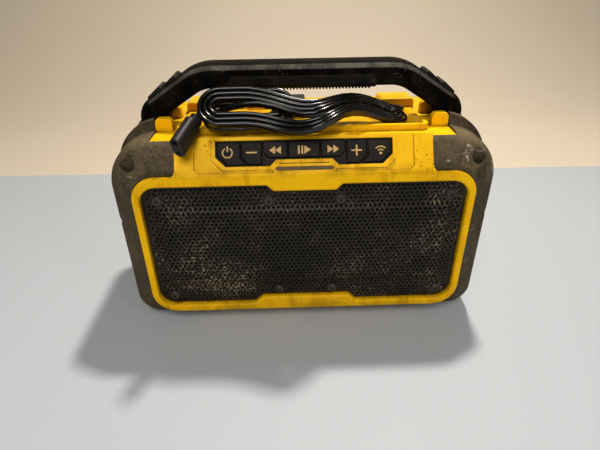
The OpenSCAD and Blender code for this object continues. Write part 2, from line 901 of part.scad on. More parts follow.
// Section of the handle: [outwards from the centre line, front to rear].
function handle_section() =
  let (h = handle_h / 2, d = handle_d / 2, c = handle_cut, e = handle_low_cut)
  [[h, c - d], [h, d - c], [h - c, d], [e - h, d], [-h, d - e], [-h, e - d], [e - h, -d], [h - c, -d]];

// Faces of a tube of rings with n points each, closed at both ends.
function tube_faces(rings, n) =
  concat(
    [[for (k = [0:n - 1]) k]],
    [for (r = [0:rings - 2], k = [0:n - 1])
      each [
        [r * n + k, (r + 1) * n + k, (r + 1) * n + (k + 1) % n],
        [r * n + k, (r + 1) * n + (k + 1) % n, r * n + (k + 1) % n]
      ]],
    [[for (k = [n - 1:-1:0]) (rings - 1) * n + k]]
  );

module handle_sweep() {
  path = handle_path();
  section = handle_section();
  points = [
    for (p = path, q = section)
      [p[0] + q[0] * sin(p[2]), handle_y + q[1], p[1] - q[0] * cos(p[2])]
  ];
  polyhedron(points, tube_faces(len(path), len(section)), convexity = 4);
}

module handle_core() {
  color("#1e1b18") difference() {
    handle_sweep();
    at_handle_screws() translate([0, 0, seat_z - cut]) cylinder(d = screw_d + 0.1, h = 14 + cut, $fn = 32);
  }
}

// Side view of the soft grip, grown by g, up to the height top.
module grip_side(g, top) {
  low = bar_z - handle_h / 2 - soft_t - g;
  front = handle_y0 - soft_t - g;
  back = handle_y1 + soft_t + g;
  c = handle_low_cut;
  polygon([[front, top], [front, low + c], [front + c, low], [back - c, low], [back, low + c], [back, top]]);
}

// Soft grip moulded round the lower half of the bar, with finger ribs round its lower edges.
module handle_grip() {
  top = bar_z + handle_h / 2 - soft_rise + 1;
  ribs = floor(soft_w / rib_pitch) - 2;
  step = 4;
  bar_section = handle_section();
  color("#141210") difference() {
    union() {
      intersection() {
        along_x(-soft_w / 2, soft_w / 2) grip_side(0, top);
        along_y(handle_y0 - handle_d, handle_y1 + handle_d)
          polygon([
            [-soft_w / 2, 0], [soft_w / 2, 0], [soft_w / 2, top - step],
            [soft_w / 2 - step, top + cut], [step - soft_w / 2, top + cut], [-soft_w / 2, top - step]
          ]);
      }
      for (k = [0:ribs - 1])
        translate([(k - (ribs - 1) / 2) * rib_pitch, 0, 0])
          along_x(-rib_pitch / 4, rib_pitch / 4) grip_side(rib_h, bar_z - rib_h);
    }
    along_x(-soft_w / 2 - cut, soft_w / 2 + cut)
      polygon([for (q = bar_section) [handle_y + q[1], bar_z + q[0]]]);
  }
}

// Two stepped rubber pads on the right shoulder.
module handle_pads() {
  pad_l = 11.5;
  pad_gap = 1.5;
  pad_w = 17;
  pad_h = 2.6;
  start = 15;
  translate([grip_w / 2, 0, handle_top]) rotate([0, shoulder_a, 0])
    for (k = [0, 1])
      translate([start + k * (pad_l + pad_gap), 0, 0])
        along_y(handle_y - pad_w / 2, handle_y + pad_w / 2)
          polygon([
            [0, 0], [pad_l, 0], [pad_l, pad_h / 3],
            [pad_l - 1, pad_h / 2], [1.5, pad_h], [0, pad_h / 2]
          ]);
}

module left_handle_pads() {
  color("#45403a") mirror([1, 0, 0]) handle_pads();
}

module right_handle_pads() {
  color("#45403a") handle_pads();
}

module handle_screws() {
  color("silver") at_handle_screws() {
    translate([0, 0, seat_z - boss_h - screw_head_h]) cylinder(d = screw_head_d, h = screw_head_h, $fn = 32);
    translate([0, 0, seat_z - boss_h - cut / 2]) cylinder(d = screw_d, h = boss_h + 12, $fn = 32);
  }
}

// Is a perforation at x, z clear of the grille's edge, tabs and screws?
function on_grille(x, z) =
  let (
    m = hole_margin + hole_d / 2,
    half = [opening_w, opening_z1 - opening_z0] / 2,
    place = [abs(x), abs(z - (opening_z0 + opening_z1) / 2)],
    corner = place - half + [opening_r, opening_r],
    gaps = [for (s = grille_screws_at) norm([x, z] - s)]
  )
  abs(x) < opening_w / 2 - m && z > opening_z0 + m && z < opening_z1 - m
  && (min(corner) < 0 || norm(corner) < opening_r - m)
  && !(abs(x) < top_tab_w / 2 + top_tab_h + m && z > opening_z1 - top_tab_h - m)
  && !(abs(x) < low_tab_w / 2 + low_tab_h + m && z < opening_z0 + low_tab_h + m)
  && min(gaps) > (screw_head_d + hole_d) / 2;

function hole_places() =
  let (
    rise = hole_pitch * sin(60),
    cols = ceil(opening_w / hole_pitch / 2),
    rows = ceil((opening_z1 - opening_z0) / rise / 2),
    mid_z = (opening_z0 + opening_z1) / 2
  )
  [
    for (r = [-rows:rows], c = [-cols:cols])
      let (x = (c + (r % 2 == 0 ? 0 : 0.5)) * hole_pitch, z = mid_z + r * rise)
      if (on_grille(x, z)) [x, z]
  ];

// Pressed field of the grille as a frustum, moved back by d.
module pressed_field(d) {
  x1 = opening_w / 2 - border_x;
  z0 = opening_z0 + border_z;
  z1 = opening_z1 - border_z;
  skin = 0.01;
  back = grille_back - grille_t + d;
  hull() {
    translate([-x1 - press_slope, back, z0 - press_slope])
      cube([2 * (x1 + press_slope), skin, z1 - z0 + 2 * press_slope]);
    translate([-x1, back - press_h, z0]) cube([2 * x1, skin, z1 - z0]);
  }
}

module grille() {
  color("#1b1a1c") intersection() {
    difference() {
      union() {
        along_y(grille_back - grille_t, grille_back) opening(grille_gap);
        pressed_field(0);
      }
      pressed_field(grille_t);
    }
    along_y(front_y, front_y + frame_t) difference() {
      opening(grille_gap);
      for (p = hole_places()) translate(p) circle(d = hole_d, $fn = 16);
      for (p = grille_screws_at) translate(p) circle(d = screw_d + 2 * screw_fit, $fn = 32);
    }
  }
}

module grille_screws() {
  face = grille_back - grille_t;
  color("#2c2a2c")
    for (p = grille_screws_at) translate([p[0], 0, p[1]]) {
      rod_y(screw_head_d, face - screw_head_h, face);
      rod_y(screw_d, face - screw_head_h / 2, baffle_back - 1);
    }
}

// Places a driver's axis: x = 0 on the axis, y from the baffle's rear face backwards.
module at_driver(s) {
  translate([s * driver_x, baffle_back, driver_z]) children();
}

module at_driver_screws(s) {
  ring = driver_d / 2 - 3;
  for (a = [45:90:315]) at_driver(s) translate([ring * cos(a), 0, ring * sin(a)]) children();
}

module baffle() {
  seat = front_y + frame_t;
  color("#26242a") difference() {
    union() {
      along_y(grille_back, seat) opening(grille_gap);
      along_y(seat, baffle_back) baffle_outline(0);
    }
    for (s = [-1, 1]) {
      at_driver(s) rod_y(cone_d + 2 * roll_w + 2 * fit, -frame_t, cut);
      at_driver_screws(s) rod_y(screw_d + 2 * screw_fit, -5, cut);
    }
    for (p = grille_screws_at) translate([p[0], 0, p[1]])
      rod_y(screw_d + 2 * screw_fit, grille_back - cut, baffle_back + cut);
  }
}

// Revolves a (radius, depth) profile about the driver's axis, depth backwards along +Y.
module turned(profile) {
  rotate([-90, 0, 0]) mirror([0, 1, 0]) rotate_extrude($fn = 96) polygon(profile);
}

module basket(s) {
  r = driver_d / 2;
  lip = basket_lip;
  neck = basket_neck;
  tail = basket_tail;
  web = basket_web;
  color("#3b3b40") difference() {
    at_driver(s) turned([
      [neck, 0], [r, 0], [r, lip], [neck + web, lip], [tail + web, basket_h],
      [coil_d / 2 + 3, basket_h], [coil_d / 2 + 3, basket_h - web], [tail, basket_h - web], [neck, lip]
    ]);
    at_driver(s)
      for (a = [0:90:270]) rotate([0, a, 0])
        translate([tail - 4, lip + 4, -11]) cube([neck, basket_h - lip - web - 8, 22]);
    at_driver_screws(s) rod_y(screw_d + 2 * screw_fit, -cut, lip + cut);
  }
}

module magnet(s) {
  r = magnet_d / 2;
  pole = coil_d / 2 - 0.9;
  gap = coil_d / 2 + 0.9;
  plate_t = 4;
  ring_h = 11;
  back = basket_h + plate_t + ring_h;
  color("#8b8d92") at_driver(s) turned([
    [gap, basket_h], [r - 4, basket_h], [r - 4, basket_h + plate_t], [r, basket_h + plate_t],
    [r, back], [r - 3, back], [r - 3, back + plate_t], [0, back + plate_t], [0, basket_h - 1],
    [pole, basket_h - 1], [pole, back], [r - 8, back], [r - 8, basket_h + plate_t], [gap, basket_h + plate_t]
  ]);
}

// Half-roll rubber ring between the cone and the basket's flange.
module surround(s) {
  r0 = cone_d / 2 + fit;
  r1 = cone_d / 2 + roll_w;
  t = 0.8;
  mid = (r0 + r1) / 2;
  roll = (r1 - r0) / 2;
  steps = 8;
  arc = function(q, d) [for (k = [0:steps]) let (a = 180 * k / steps) [mid - q * cos(a), d - q * sin(a)]];
  outer = arc(roll, 0);
  inner = arc(roll - t, 0);
  rim = [[basket_neck, 0], [basket_neck, t], [r1 - t, t]];
  color("#222222") at_driver(s)
    turned(concat(outer, rim, [for (k = [steps:-1:0]) inner[k]]));
}

// Corrugated disc that centres the voice coil.
module spider(s) {
  r0 = coil_d / 2 + 0.7;
  depth = basket_h - 6;
  t = 0.8;
  narrowing = (basket_neck - basket_tail) / (basket_h - basket_web - basket_lip);
  r1 = basket_neck - (depth + t - basket_lip) * narrowing;
  waves = 4;
  steps = 24;
  wave = [for (k = [0:steps]) [lerp(r0, r1, k / steps), depth + 0.9 * sin(360 * waves * k / steps)]];
  color("#b98b4a") at_driver(s)
    turned(concat(wave, [for (k = [steps:-1:0]) wave[k] + [0, t]]));
}

// Paper cone with its dust cap and voice coil.
module cone(s) {
  r = cone_d / 2;
  t = 0.9;
  coil = coil_d / 2;
  neck = 15;
  tail = basket_h + 4;
  cap = coil + 2;
  color("#3a3a3c") at_driver(s) turned([
    [0, neck - 8], [cap * 0.5, neck - 7.2], [cap * 0.85, neck - 4.6], [cap, neck - 1.6],
    [r - 2.5, 1.2], [r, 1.2],
    [r, 1.2 + t], [r - 2.2, 1.2 + t], [coil + 0.4, neck + 1], [coil + 0.4, tail], [coil - 0.4, tail],
    [coil - 0.4, neck - 1], [cap * 0.5, neck - 6], [0, neck - 6.8]
  ]);
}

module left_basket() { basket(-1); }
module left_magnet() { magnet(-1); }
module left_surround() { surround(-1); }
module left_spider() { spider(-1); }
module left_cone() { cone(-1); }
module right_basket() { basket(1); }
module right_magnet() { magnet(1); }
module right_surround() { surround(1); }
module right_spider() { spider(1); }
module right_cone() { cone(1); }

module driver_screws() {
  lip = basket_lip;
  color("silver")
    for (s = [-1, 1]) at_driver_screws(s) {
      rod_y(screw_d, -3.6, lip + cut / 2);
      rod_y(screw_head_d - 1.5, lip, lip + screw_head_h);
    }
}

// How far the parting line on edge k leans to the right as it runs down, for a raised or a flat button.
function edge_slant(k, raised) =
  raised ? (k == 2 ? raised_cut : k == 5 ? -raised_cut : 0)
  : (k == 1 ? key_slant : k == 6 ? -key_slant : 0);

// Side of a button along edge k, from the top down to low; it stands off to the right (side 1) or left (-1).
function edge_line(k, raised, side, off, low) =
  let (
    c = edge_slant(k, raised),
    x = button_edges[k] + side * off,
    turn = keypad_s0 + bezel_edge + (raised ? light_tab_h : 0) + abs(c),
    bend = side * off * (sqrt(2) - 1)
  )
  c == 0 ? [[x, panel_len], [x, low]]
  : [[x, panel_len], [x, turn + sign(c) * bend], [x + bend + sign(c) * (turn - low), low]];

// Front view of button k on the panel, shrunk by g from its place in the bezel.
module button_outline(k, g) {
  raised = button_is_raised[k];
  low = keypad_s0 + bezel_edge + g + (raised ? light_tab_h : 0);
  off = button_web / 2 + g;
  right = edge_line(k + 1, raised, -1, off, low);
  intersection() {
    keypad_outline(bezel_edge + g);
    polygon(concat(edge_line(k, raised, 1, off, low), [for (i = [len(right) - 1:-1:0]) right[i]]));
  }
}

module keypad_bezel() {
  color("#2a282c") on_panel() difference() {
    union() {
      along_y(bezel_set, wall + cut / 2) keypad_outline(0.1);
      along_y(wall, bezel_back)
        translate([-keypad_w / 2 - bezel_rim, keypad_s0 - bezel_rim])
          square([keypad_w + 2 * bezel_rim, keypad_s1 - keypad_s0 + bezel_rim + 0.8]);
    }
    for (k = [0:6]) along_y(-cut, bezel_back + cut) button_outline(k, 0);
  }
}

// A button: its cap through the bezel and a lip behind that holds it in.
module button(k) {
  face = button_is_raised[k] ? button_face - raised_h : button_face;
  lip_y = bezel_back + fit;
  color("#2a282c") on_panel() {
    along_y(face, lip_y + cut / 2) button_outline(k, button_gap);
    along_y(lip_y, lip_y + button_lip) button_outline(k, button_gap - button_lip_rim);
  }
}

module power_button() { button(0); }
module volume_down_button() { button(1); }
module previous_button() { button(2); }
module play_button() { button(3); }
module next_button() { button(4); }
module volume_up_button() { button(5); }
module pairing_button() { button(6); }

// Circuit board behind the keypad, with one switch under each button.
module control_board() {
  color("darkgreen") on_panel() {
    along_y(board_y, board_y + board_t)
      translate([-keypad_w / 2 - bezel_rim, keypad_s0 + 1])
        square([keypad_w + 2 * bezel_rim, keypad_s1 - keypad_s0 - 2]);
    for (k = [0:6])
      translate([(button_edges[k] + button_edges[k + 1]) / 2, 0, (keypad_s0 + light_tab_h + keypad_s1) / 2])
        rod_y(4, board_y - switch_h, board_y + cut / 2);
    for (s = [-1, 1])
      translate([s * (keypad_w / 2 + 0.6), 0, (keypad_s0 + keypad_s1) / 2])
        rod_y(2.4, bezel_back, board_y + cut / 2);
  }
}

module light_pipe() {
  color("#8d858c") on_panel() along_y(fit, wall) light_outline(0.1);
}

// Amplifier and radio board on posts in front of the battery bay.
module main_board() {
  z0 = bay_z0 + board_head_d;
  h = bay_z1 - bay_z0 - 2 * wall;
  color("darkgreen") difference() {
    union() {
      translate([-bay_w / 2, main_y, z0]) cube([bay_w, board_t, h]);
      translate([-amp[0] / 2, main_y - amp[1], z0 + amp_rise]) cube(amp + [0, cut / 2, 0]);
      for (x = can_x) translate([x, 0, z0 + can_rise]) rod_y(can_d, main_y - can_h, main_y + cut / 2);
      translate([chip_x, main_y - chip[1], z0 + chip_rise]) cube(chip + [0, cut / 2, 0]);
    }
    at_board_posts() rod_y(board_screw_d + 2 * screw_fit, main_y - cut, main_y + board_t + cut);
  }
}

module board_screws() {
  color("silver") at_board_posts() {
    rod_y(board_head_d, main_y - board_head_h, main_y);
    rod_y(board_screw_d, main_y - cut / 2, main_y + board_t + board_screw_l);
  }
}

// Mains converter module on the rear wall beside the bay.
module power_supply() {
  x0 = -bay_w / 2 - bay_wall - supply_gap - supply[0];
  back = rear_y - frame_t;
  face = back - supply[1];
  color("#3c4a3c") {
    translate([x0, face, supply_z]) cube(supply);
    translate([x0 + supply_core_x, face - supply_core[1], supply_z + supply_core_rise])
      cube(supply_core + [0, cut / 2, 0]);
    for (rise = supply_can_rise)
      translate([x0 + supply[0] - supply_can_x, 0, supply_z + rise])
        rod_y(supply_can_d, face - supply_can_h, face + cut / 2);
  }
}

// Figure-eight mains socket in the rear wall.
module ac_inlet() {
  face = rear_y - 0.5;
  color("#1c1c1e") difference() {
    union() {
      translate([inlet_x - inlet_w / 2, face - inlet_d - 2, inlet_z - inlet_h / 2])
        cube([inlet_w, inlet_d + 2, inlet_h]);
      translate([inlet_x - inlet_w / 2 - 2, rear_y - frame_t - 1.5, inlet_z - inlet_h / 2 - 2])
        cube([inlet_w + 4, 1.5, inlet_h + 4]);
    }
    translate([inlet_x, 0, inlet_z]) along_y(face - inlet_d, face + cut) {
      square([socket_w - socket_h, socket_h], center = true);
      for (s = [-1, 1]) translate([s * (socket_w - socket_h) / 2, 0]) circle(d = socket_h, $fn = 48);
    }
    for (s = [-1, 1]) translate([inlet_x + s * socket_pitch / 2, 0, inlet_z])
      rod_y(pin_d, face - inlet_d - 2 - cut, face);
  }
}

module inlet_pins() {
  face = rear_y - 0.5;
  color("silver")
    for (s = [-1, 1]) translate([inlet_x + s * socket_pitch / 2, 0, inlet_z])
      rod_y(pin_d, face - inlet_d - 5, face - 2);
}

// Terminal block on the floor of the battery bay.
module battery_terminals() {
  color("#1c1c1e") difference() {
    translate([-block_w / 2, bay_y, bay_z1 - block_h]) cube([block_w, block_d, block_h]);
    for (k = [-2:2])
      translate([k * blade_pitch - blade_t / 2, bay_y + blade_set, bay_z1 - block_h - cut])
        cube([blade_t, blade_w, block_h - blade_root + cut]);
  }
}

module terminal_blades() {
  color("gold")
    for (k = [-2:2])
      translate([k * blade_pitch - blade_t / 2, bay_y + blade_set, bay_z1 - block_h - blade_out])
        cube([blade_t, blade_w, block_h - blade_root + blade_out]);
}

// Headphone-size jack and charging socket behind the port door.
module port_socket_block() {
  port_y = rear_y - port_d;
  z0 = port_z - port_block_h / 2 + port_block_rise;
  color("#202024") difference() {
    translate([port_x - port_block_w / 2, port_y - frame_t, z0]) cube([port_block_w, frame_t, port_block_h]);
    translate([port_x + jack_x, 0, z0 + port_block_h / 2]) rod_y(jack_d, port_y - socket_depth, port_y + cut);
    translate([port_x + usb_x, port_y - socket_depth, z0 + usb_rise])
      cube([usb_w, socket_depth + cut, usb_h]);
  }
}

// Hinged door over the ports.
module port_door() {
  hinge_y = rear_y - hinge_r - fit;
  hinge_z = port_z - port_h / 2 + hinge_r + fit;
  top = port_z + port_h / 2 - fit;
  color("#242226") difference() {
    union() {
      translate([port_x - port_w / 2 + fit, rear_y - fit - door_t, hinge_z])
        cube([port_w - 2 * fit, door_t, top - hinge_z]);
      translate([port_x, 0, hinge_z]) along_x(fit - port_w / 2, port_w / 2 - fit)
        translate([hinge_y, 0]) circle(hinge_r, $fn = 48);
    }
    translate([port_x, 0, hinge_z]) along_x(-port_w / 2, port_w / 2)
      translate([hinge_y, 0]) circle(hinge_pin_d / 2 + pin_fit, $fn = 32);
    translate([port_x - 5, rear_y - fit - 0.8, top - 2.5]) cube([10, cut + 0.8, 2.5 + cut]);
  }
}

module door_pin() {
  hinge_z = port_z - port_h / 2 + hinge_r + fit;
  color("silver") translate([port_x, 0, hinge_z]) along_x(-port_w / 2 - hinge_in, port_w / 2 + hinge_in)
    translate([rear_y - hinge_r - fit, 0]) circle(hinge_pin_d / 2, $fn = 32);
}

module housing_screws() {
  end_face = rear_y - frame_t;
  color("silver") {
    housing_posts(rear_y - head_h, rear_y - 0.6, head_d);
    housing_posts(end_face - post_hole_l + 2, rear_y - head_h + cut / 2, screw_d);
  }
}

// Wound lead. One loop in its own plane: rear run, right fold, front run, left fold.
// Place across the plane of the rear run (side 1) or the front run (side -1); s is 0 in the
// short loops and 1 in the long ones.
function run_at(x, s, side) =
  let (
    out = side > 0 ? run_rear : run_front,
    sag = side > 0 ? sag_rear : sag_front,
    lift = lift_h * smooth((x - lift_x) / (fold_r[0] - lift_x)),
    fall = smooth((x - sag_x[0]) / (sag_x[1] - sag_x[0])),
    rise = smooth((sag_x[2] - x) / (sag_x[2] - sag_x[1]))
  )
  side * lerp(out[0], out[1], s) + lift * (1 - s) - sag * fall * rise * s;

// Place at angle a in the fold about x, inset by d.
function fold_at(x, s, d, a) =
  let (up = run_at(x, s, 1), low = run_at(x, s, -1), r = (up - low) / 2 - d)
  [x + r * cos(a), (up + low) / 2 + r * sin(a)];

// Place [x, across] at fraction f of a loop that is inset by d.
function loop_at(f, d, s) =
  let (q = f * 4, x0 = lerp(fold_l[0], fold_l[1], s), x1 = lerp(fold_r[0], fold_r[1], s))
  q < 1 ? let (x = lerp(x0, x1, q)) [x, run_at(x, s, 1) - d]
  : q < 2 ? fold_at(x1, s, d, 90 - 180 * (q - 1))
  : q < 3 ? let (x = lerp(x1, x0, q - 2)) [x, run_at(x, s, -1) + d]
  : fold_at(x0, s, d, 270 - 180 * (q - 3));

// Loops since the lead left the short ones.
function hank_over(t) = t - floor(lead_loops / 2);
function hank_inset(t) =
  let (clear = climb_in * exp(-pow((hank_over(t) - 0.05) / 0.06, 2)))
  loop_step * (t < lead_loops / 2 ? t : lead_loops - t) + clear;
function hank_layer(t) = (lead_w + layer_gap) * (smooth(hank_over(t) * climb) - 0.5);

// Turns a place in the loops' plane into the part's frame.
function hank_frame(x) =
  let (change = function(c) c[2] * smooth((x - c[0]) / (c[1] - c[0])))
  [hank_y + change(hank_slide), hank_z + change(hank_sink), hank_tilt + change(hank_flat)];

function hank_point(x, w, n) =
  let (f = hank_frame(x), a = f[2])
  [x, f[0] + w * cos(a) - n * sin(a), f[1] + w * sin(a) + n * cos(a)];

function hank_centre(t) =
  let (p = loop_at(t - floor(t), hank_inset(t), smooth(hank_over(t) * reshape)))
  hank_point(p[0], p[1], hank_layer(t));

function unit(v) = v / norm(v);

// Way the lead runs at time t.
function hank_way(t) =
  let (h = 0.004) unit(hank_centre(min(t + h, lead_loops - 0.0001)) - hank_centre(max(t - h, 0)));

// One ring of the flat lead: wide across the loops' plane, six sides.
function hank_ring(t) =
  let (
    c = hank_centre(t),
    a = hank_frame(c[0])[2],
    n = [0, -sin(a), cos(a)],
    ahead = hank_way(t),
    side = unit(cross(n, ahead)),
    up = cross(ahead, side)
  )
  [for (k = [0:5]) c + side * lead_t / 2 * cos(60 * k) + up * lead_w / 2 * sin(60 * k) / sin(60)];

hank_times = [for (k = [0:lead_loops * 4 * ring_steps]) min(k / (4 * ring_steps), lead_loops - 0.0001)];

module lead_hank() {
  rings = [for (t = hank_times) hank_ring(t)];
  last = len(rings) - 1;
  skip = 2 * ring_steps;
  gaps = [
    for (i = [0:last - skip]) each
      [for (j = [i + skip:last])
        if (norm(rings[i][0] - rings[j][0]) < 3 * lead_w)
          min([for (p = rings[i], q = rings[j]) norm(p - q)])]
  ];
  echo(least_gap = min(gaps));
  color("#111111") polyhedron([for (r = rings) each r], tube_faces(len(rings), 6), convexity = 10);
}

// Eight-sided tube along a route, with its rings square to the route.
module lead_tube(route, d) {
  last = len(route) - 1;
  points = [
    for (i = [0:last])
      let (
        ahead = unit(route[min(i + 1, last)] - route[max(i - 1, 0)]),
        side = unit(cross([0, 0, 1], ahead)),
        up = cross(ahead, side)
      )
      for (k = [0:7]) route[i] + d / 2 * (side * cos(45 * k) + up * sin(45 * k))
  ];
  color("#111111") polyhedron(points, tube_faces(len(route), 8), convexity = 6);
}

module lead_tail() {
  end = hank_centre(0) - hank_way(0) * tail_gap;
  lead_tube(concat(
    [connector_at, connector_at - unit(connector_axis) * tail_d],
    tail_points,
    [end - hank_way(0) * tail_d, end]
  ), tail_d);
}

module plug_tail() {
  last = lead_loops - 0.0001;
  start = hank_centre(last) + hank_way(last) * tail_gap;
  lead_tube(concat(
    [start, start + hank_way(last) * tail_d],
    plug_points,
    [plug_at + [tail_d, 0, 0], plug_at]
  ), tail_d);
}

// Stadium of the given width and height.
module stadium(w, h) {
  square([w - h, h], center = true);
  for (s = [-1, 1]) translate([s * (w - h) / 2, 0]) circle(d = h, $fn = 48);
}

// Figure-eight socket on the end of the lead, with a strain relief.
module lead_connector() {
  way = unit(connector_axis);
  wide = unit([0, 0, 1] - way * way[2]);
  thin = cross(way, wide);
  body_l = connector_l - relief_l;
  frame = [
    [wide[0], thin[0], way[0], connector_at[0]],
    [wide[1], thin[1], way[1], connector_at[1]],
    [wide[2], thin[2], way[2], connector_at[2]],
    [0, 0, 0, 1]
  ];
  color("#2b2b2d") multmatrix(frame) difference() {
    union() {
      linear_extrude(relief_l + cut) stadium(socket_h, 6);
      for (k = [0:2]) translate([0, 0, 1 + 2 * k]) linear_extrude(1) stadium(socket_h + 1.4, 7);
      translate([0, 0, relief_l]) linear_extrude(body_l) stadium(socket_w, socket_h);
    }
    for (s = [-1, 1]) translate([s * socket_pitch / 2, 0, connector_l - 12])
      cylinder(d = pin_d + 0.5, h = 12 + cut, $fn = 32);
  }
}

// Two-pin mains plug lying in the tray.
module plug_frame() {
  translate(plug_at) rotate([0, -90, 0]) rotate([0, 0, 90]) children();
}

module lead_plug() {
  neck = 9;
  color("#161616") plug_frame() difference() {
    union() {
      linear_extrude(neck + cut) stadium(9, 7);
      translate([0, 0, neck]) linear_extrude(plug_l - neck) stadium(plug_w, plug_h);
    }
    for (s = [-1, 1]) translate([s * (plug_w - plug_h) / 2, 0, plug_l - 8])
      cylinder(d = plug_pin_d, h = 8 + cut, $fn = 32);
  }
}

module plug_pins() {
  color("silver") plug_frame()
    for (s = [-1, 1]) translate([s * (plug_w - plug_h) / 2, 0, plug_l - 8])
      cylinder(d = plug_pin_d, h = 8 + plug_pin_l, $fn = 32);
}

front_shell();
rear_shell();
shell_seal();
left_bumper();
right_bumper();
feet();
handle_core();
handle_grip();
left_handle_pads();
right_handle_pads();
handle_screws();
grille();
grille_screws();
baffle();
left_basket();
left_magnet();
left_surround();
left_spider();
left_cone();
right_basket();
right_magnet();
right_surround();
right_spider();
right_cone();
driver_screws();
keypad_bezel();
power_button();
volume_down_button();
previous_button();
play_button();
next_button();
volume_up_button();
pairing_button();
control_board();
light_pipe();
main_board();
power_supply();
board_screws();
ac_inlet();
inlet_pins();
battery_terminals();
terminal_blades();
port_socket_block();
port_door();
door_pin();
housing_screws();
lead_hank();
lead_tail();
lead_connector();
plug_tail();
lead_plug();
plug_pins();
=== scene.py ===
"""Looks of a rugged jobsite loudspeaker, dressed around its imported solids."""

import logging
import math
from dataclasses import dataclass, field
from enum import Enum
from typing import Callable, Iterable, Sequence

import bmesh
import bpy
import numpy as np
from mathutils import Matrix, Vector


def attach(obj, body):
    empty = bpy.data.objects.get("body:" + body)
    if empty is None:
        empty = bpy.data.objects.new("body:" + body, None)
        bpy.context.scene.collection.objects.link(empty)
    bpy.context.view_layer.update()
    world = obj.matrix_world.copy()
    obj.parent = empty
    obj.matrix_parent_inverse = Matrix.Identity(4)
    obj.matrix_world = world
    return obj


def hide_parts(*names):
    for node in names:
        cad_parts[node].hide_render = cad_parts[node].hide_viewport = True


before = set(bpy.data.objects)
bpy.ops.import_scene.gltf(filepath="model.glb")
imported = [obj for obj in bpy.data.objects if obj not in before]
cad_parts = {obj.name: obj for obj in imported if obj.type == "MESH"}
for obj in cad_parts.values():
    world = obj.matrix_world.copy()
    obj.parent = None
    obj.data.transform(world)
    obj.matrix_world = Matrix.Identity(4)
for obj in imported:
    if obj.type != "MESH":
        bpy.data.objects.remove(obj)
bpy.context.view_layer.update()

LOG = logging.getLogger("speaker")
MM = 0.001
HOUSING = "housing"
FINISH_END = "_finish"
Flat = tuple[float, float]
Point = tuple[float, float, float]


def linear(code: str) -> tuple[float, float, float, float]:
    """Turns a written colour into linear light.

    Args:
        code: A colour such as "#f5b800".

    Returns:
        Red, green, blue and an alpha of one.
    """
    parts = [int(code[i:i + 2], 16) / 255 for i in (1, 3, 5)]
    light = [p / 12.92 if p <= 0.04045 else ((p + 0.055) / 1.055) ** 2.4 for p in parts]
    return light[0], light[1], light[2], 1.0


def eased(t: float) -> float:
    """Smooth step from 0 to 1."""
    c = min(1.0, max(0.0, t))
    return c * c * (3 - 2 * c)


@dataclass(frozen=True)
class BodySizes:
    """Main sizes of the speaker in metres, as in the part's source."""

    front_y: float = -60 * MM
    rear_y: float = 60 * MM
    frame_z1: float = 126 * MM
    ridge_z: float = 147.6 * MM
    lean: float = math.radians(32)
    opening_half: float = 110 * MM
    opening_z0: float = 20 * MM
    opening_z1: float = 118.5 * MM
    opening_r: float = 12 * MM

    def on_panel(self, x: float, depth: float, slope: float) -> Vector:
        """Places a point on the control panel.

        Args:
            x: Across the panel.
            depth: Into the body, square to the panel.
            slope: Up the panel from its lower edge.

        Returns:
            The point in the part's frame.
        """
        c, s = math.cos(self.lean), math.sin(self.lean)
        return Vector((x, self.front_y + depth * c + slope * s, self.frame_z1 - depth * s + slope * c))


BODY = BodySizes()


class Field:
    """A value that changes over a surface: one socket, with arithmetic that adds Math nodes."""

    def __init__(self, book: "Book", socket: bpy.types.NodeSocket) -> None:
        """Wraps a socket of a material's tree."""
        self.book = book
        self.socket = socket

    def _math(self, operation: str, *terms: "Field | float") -> "Field":
        """Adds one Math node on the given terms."""
        return self.book.field("ShaderNodeMath", {"operation": operation}, dict(enumerate(terms)))

    def __add__(self, other: "Field | float") -> "Field":
        """Sum."""
        return self._math("ADD", self, other)

    __radd__ = __add__

    def __sub__(self, other: "Field | float") -> "Field":
        """Difference."""
        return self._math("SUBTRACT", self, other)

    def __rsub__(self, other: "Field | float") -> "Field":
        """Difference from a number."""
        return self._math("SUBTRACT", other, self)

    def __mul__(self, other: "Field | float") -> "Field":
        """Product."""
        return self._math("MULTIPLY", self, other)

    __rmul__ = __mul__

    def most(self, other: "Field | float") -> "Field":
        """Larger of two values."""
        return self._math("MAXIMUM", self, other)

    def least(self, other: "Field | float") -> "Field":
        """Smaller of two values."""
        return self._math("MINIMUM", self, other)

    def size(self) -> "Field":
        """Value without its sign."""
        return self._math("ABSOLUTE", self)

    def within(self, low: float, high: float, soft: float) -> "Field":
        """1 between two values, falling to 0 over a soft edge outside them."""
        return self.step(low - soft, low) * (1.0 - self.step(high, high + soft))

    def step(self, low: float, high: float) -> "Field":
        """Smooth ramp from 0 at low to 1 at high."""
        return self.book.field(
            "ShaderNodeMapRange", {"interpolation_type": "SMOOTHSTEP"},
            {0: self, 1: low, 2: high, 3: 0.0, 4: 1.0},
        )


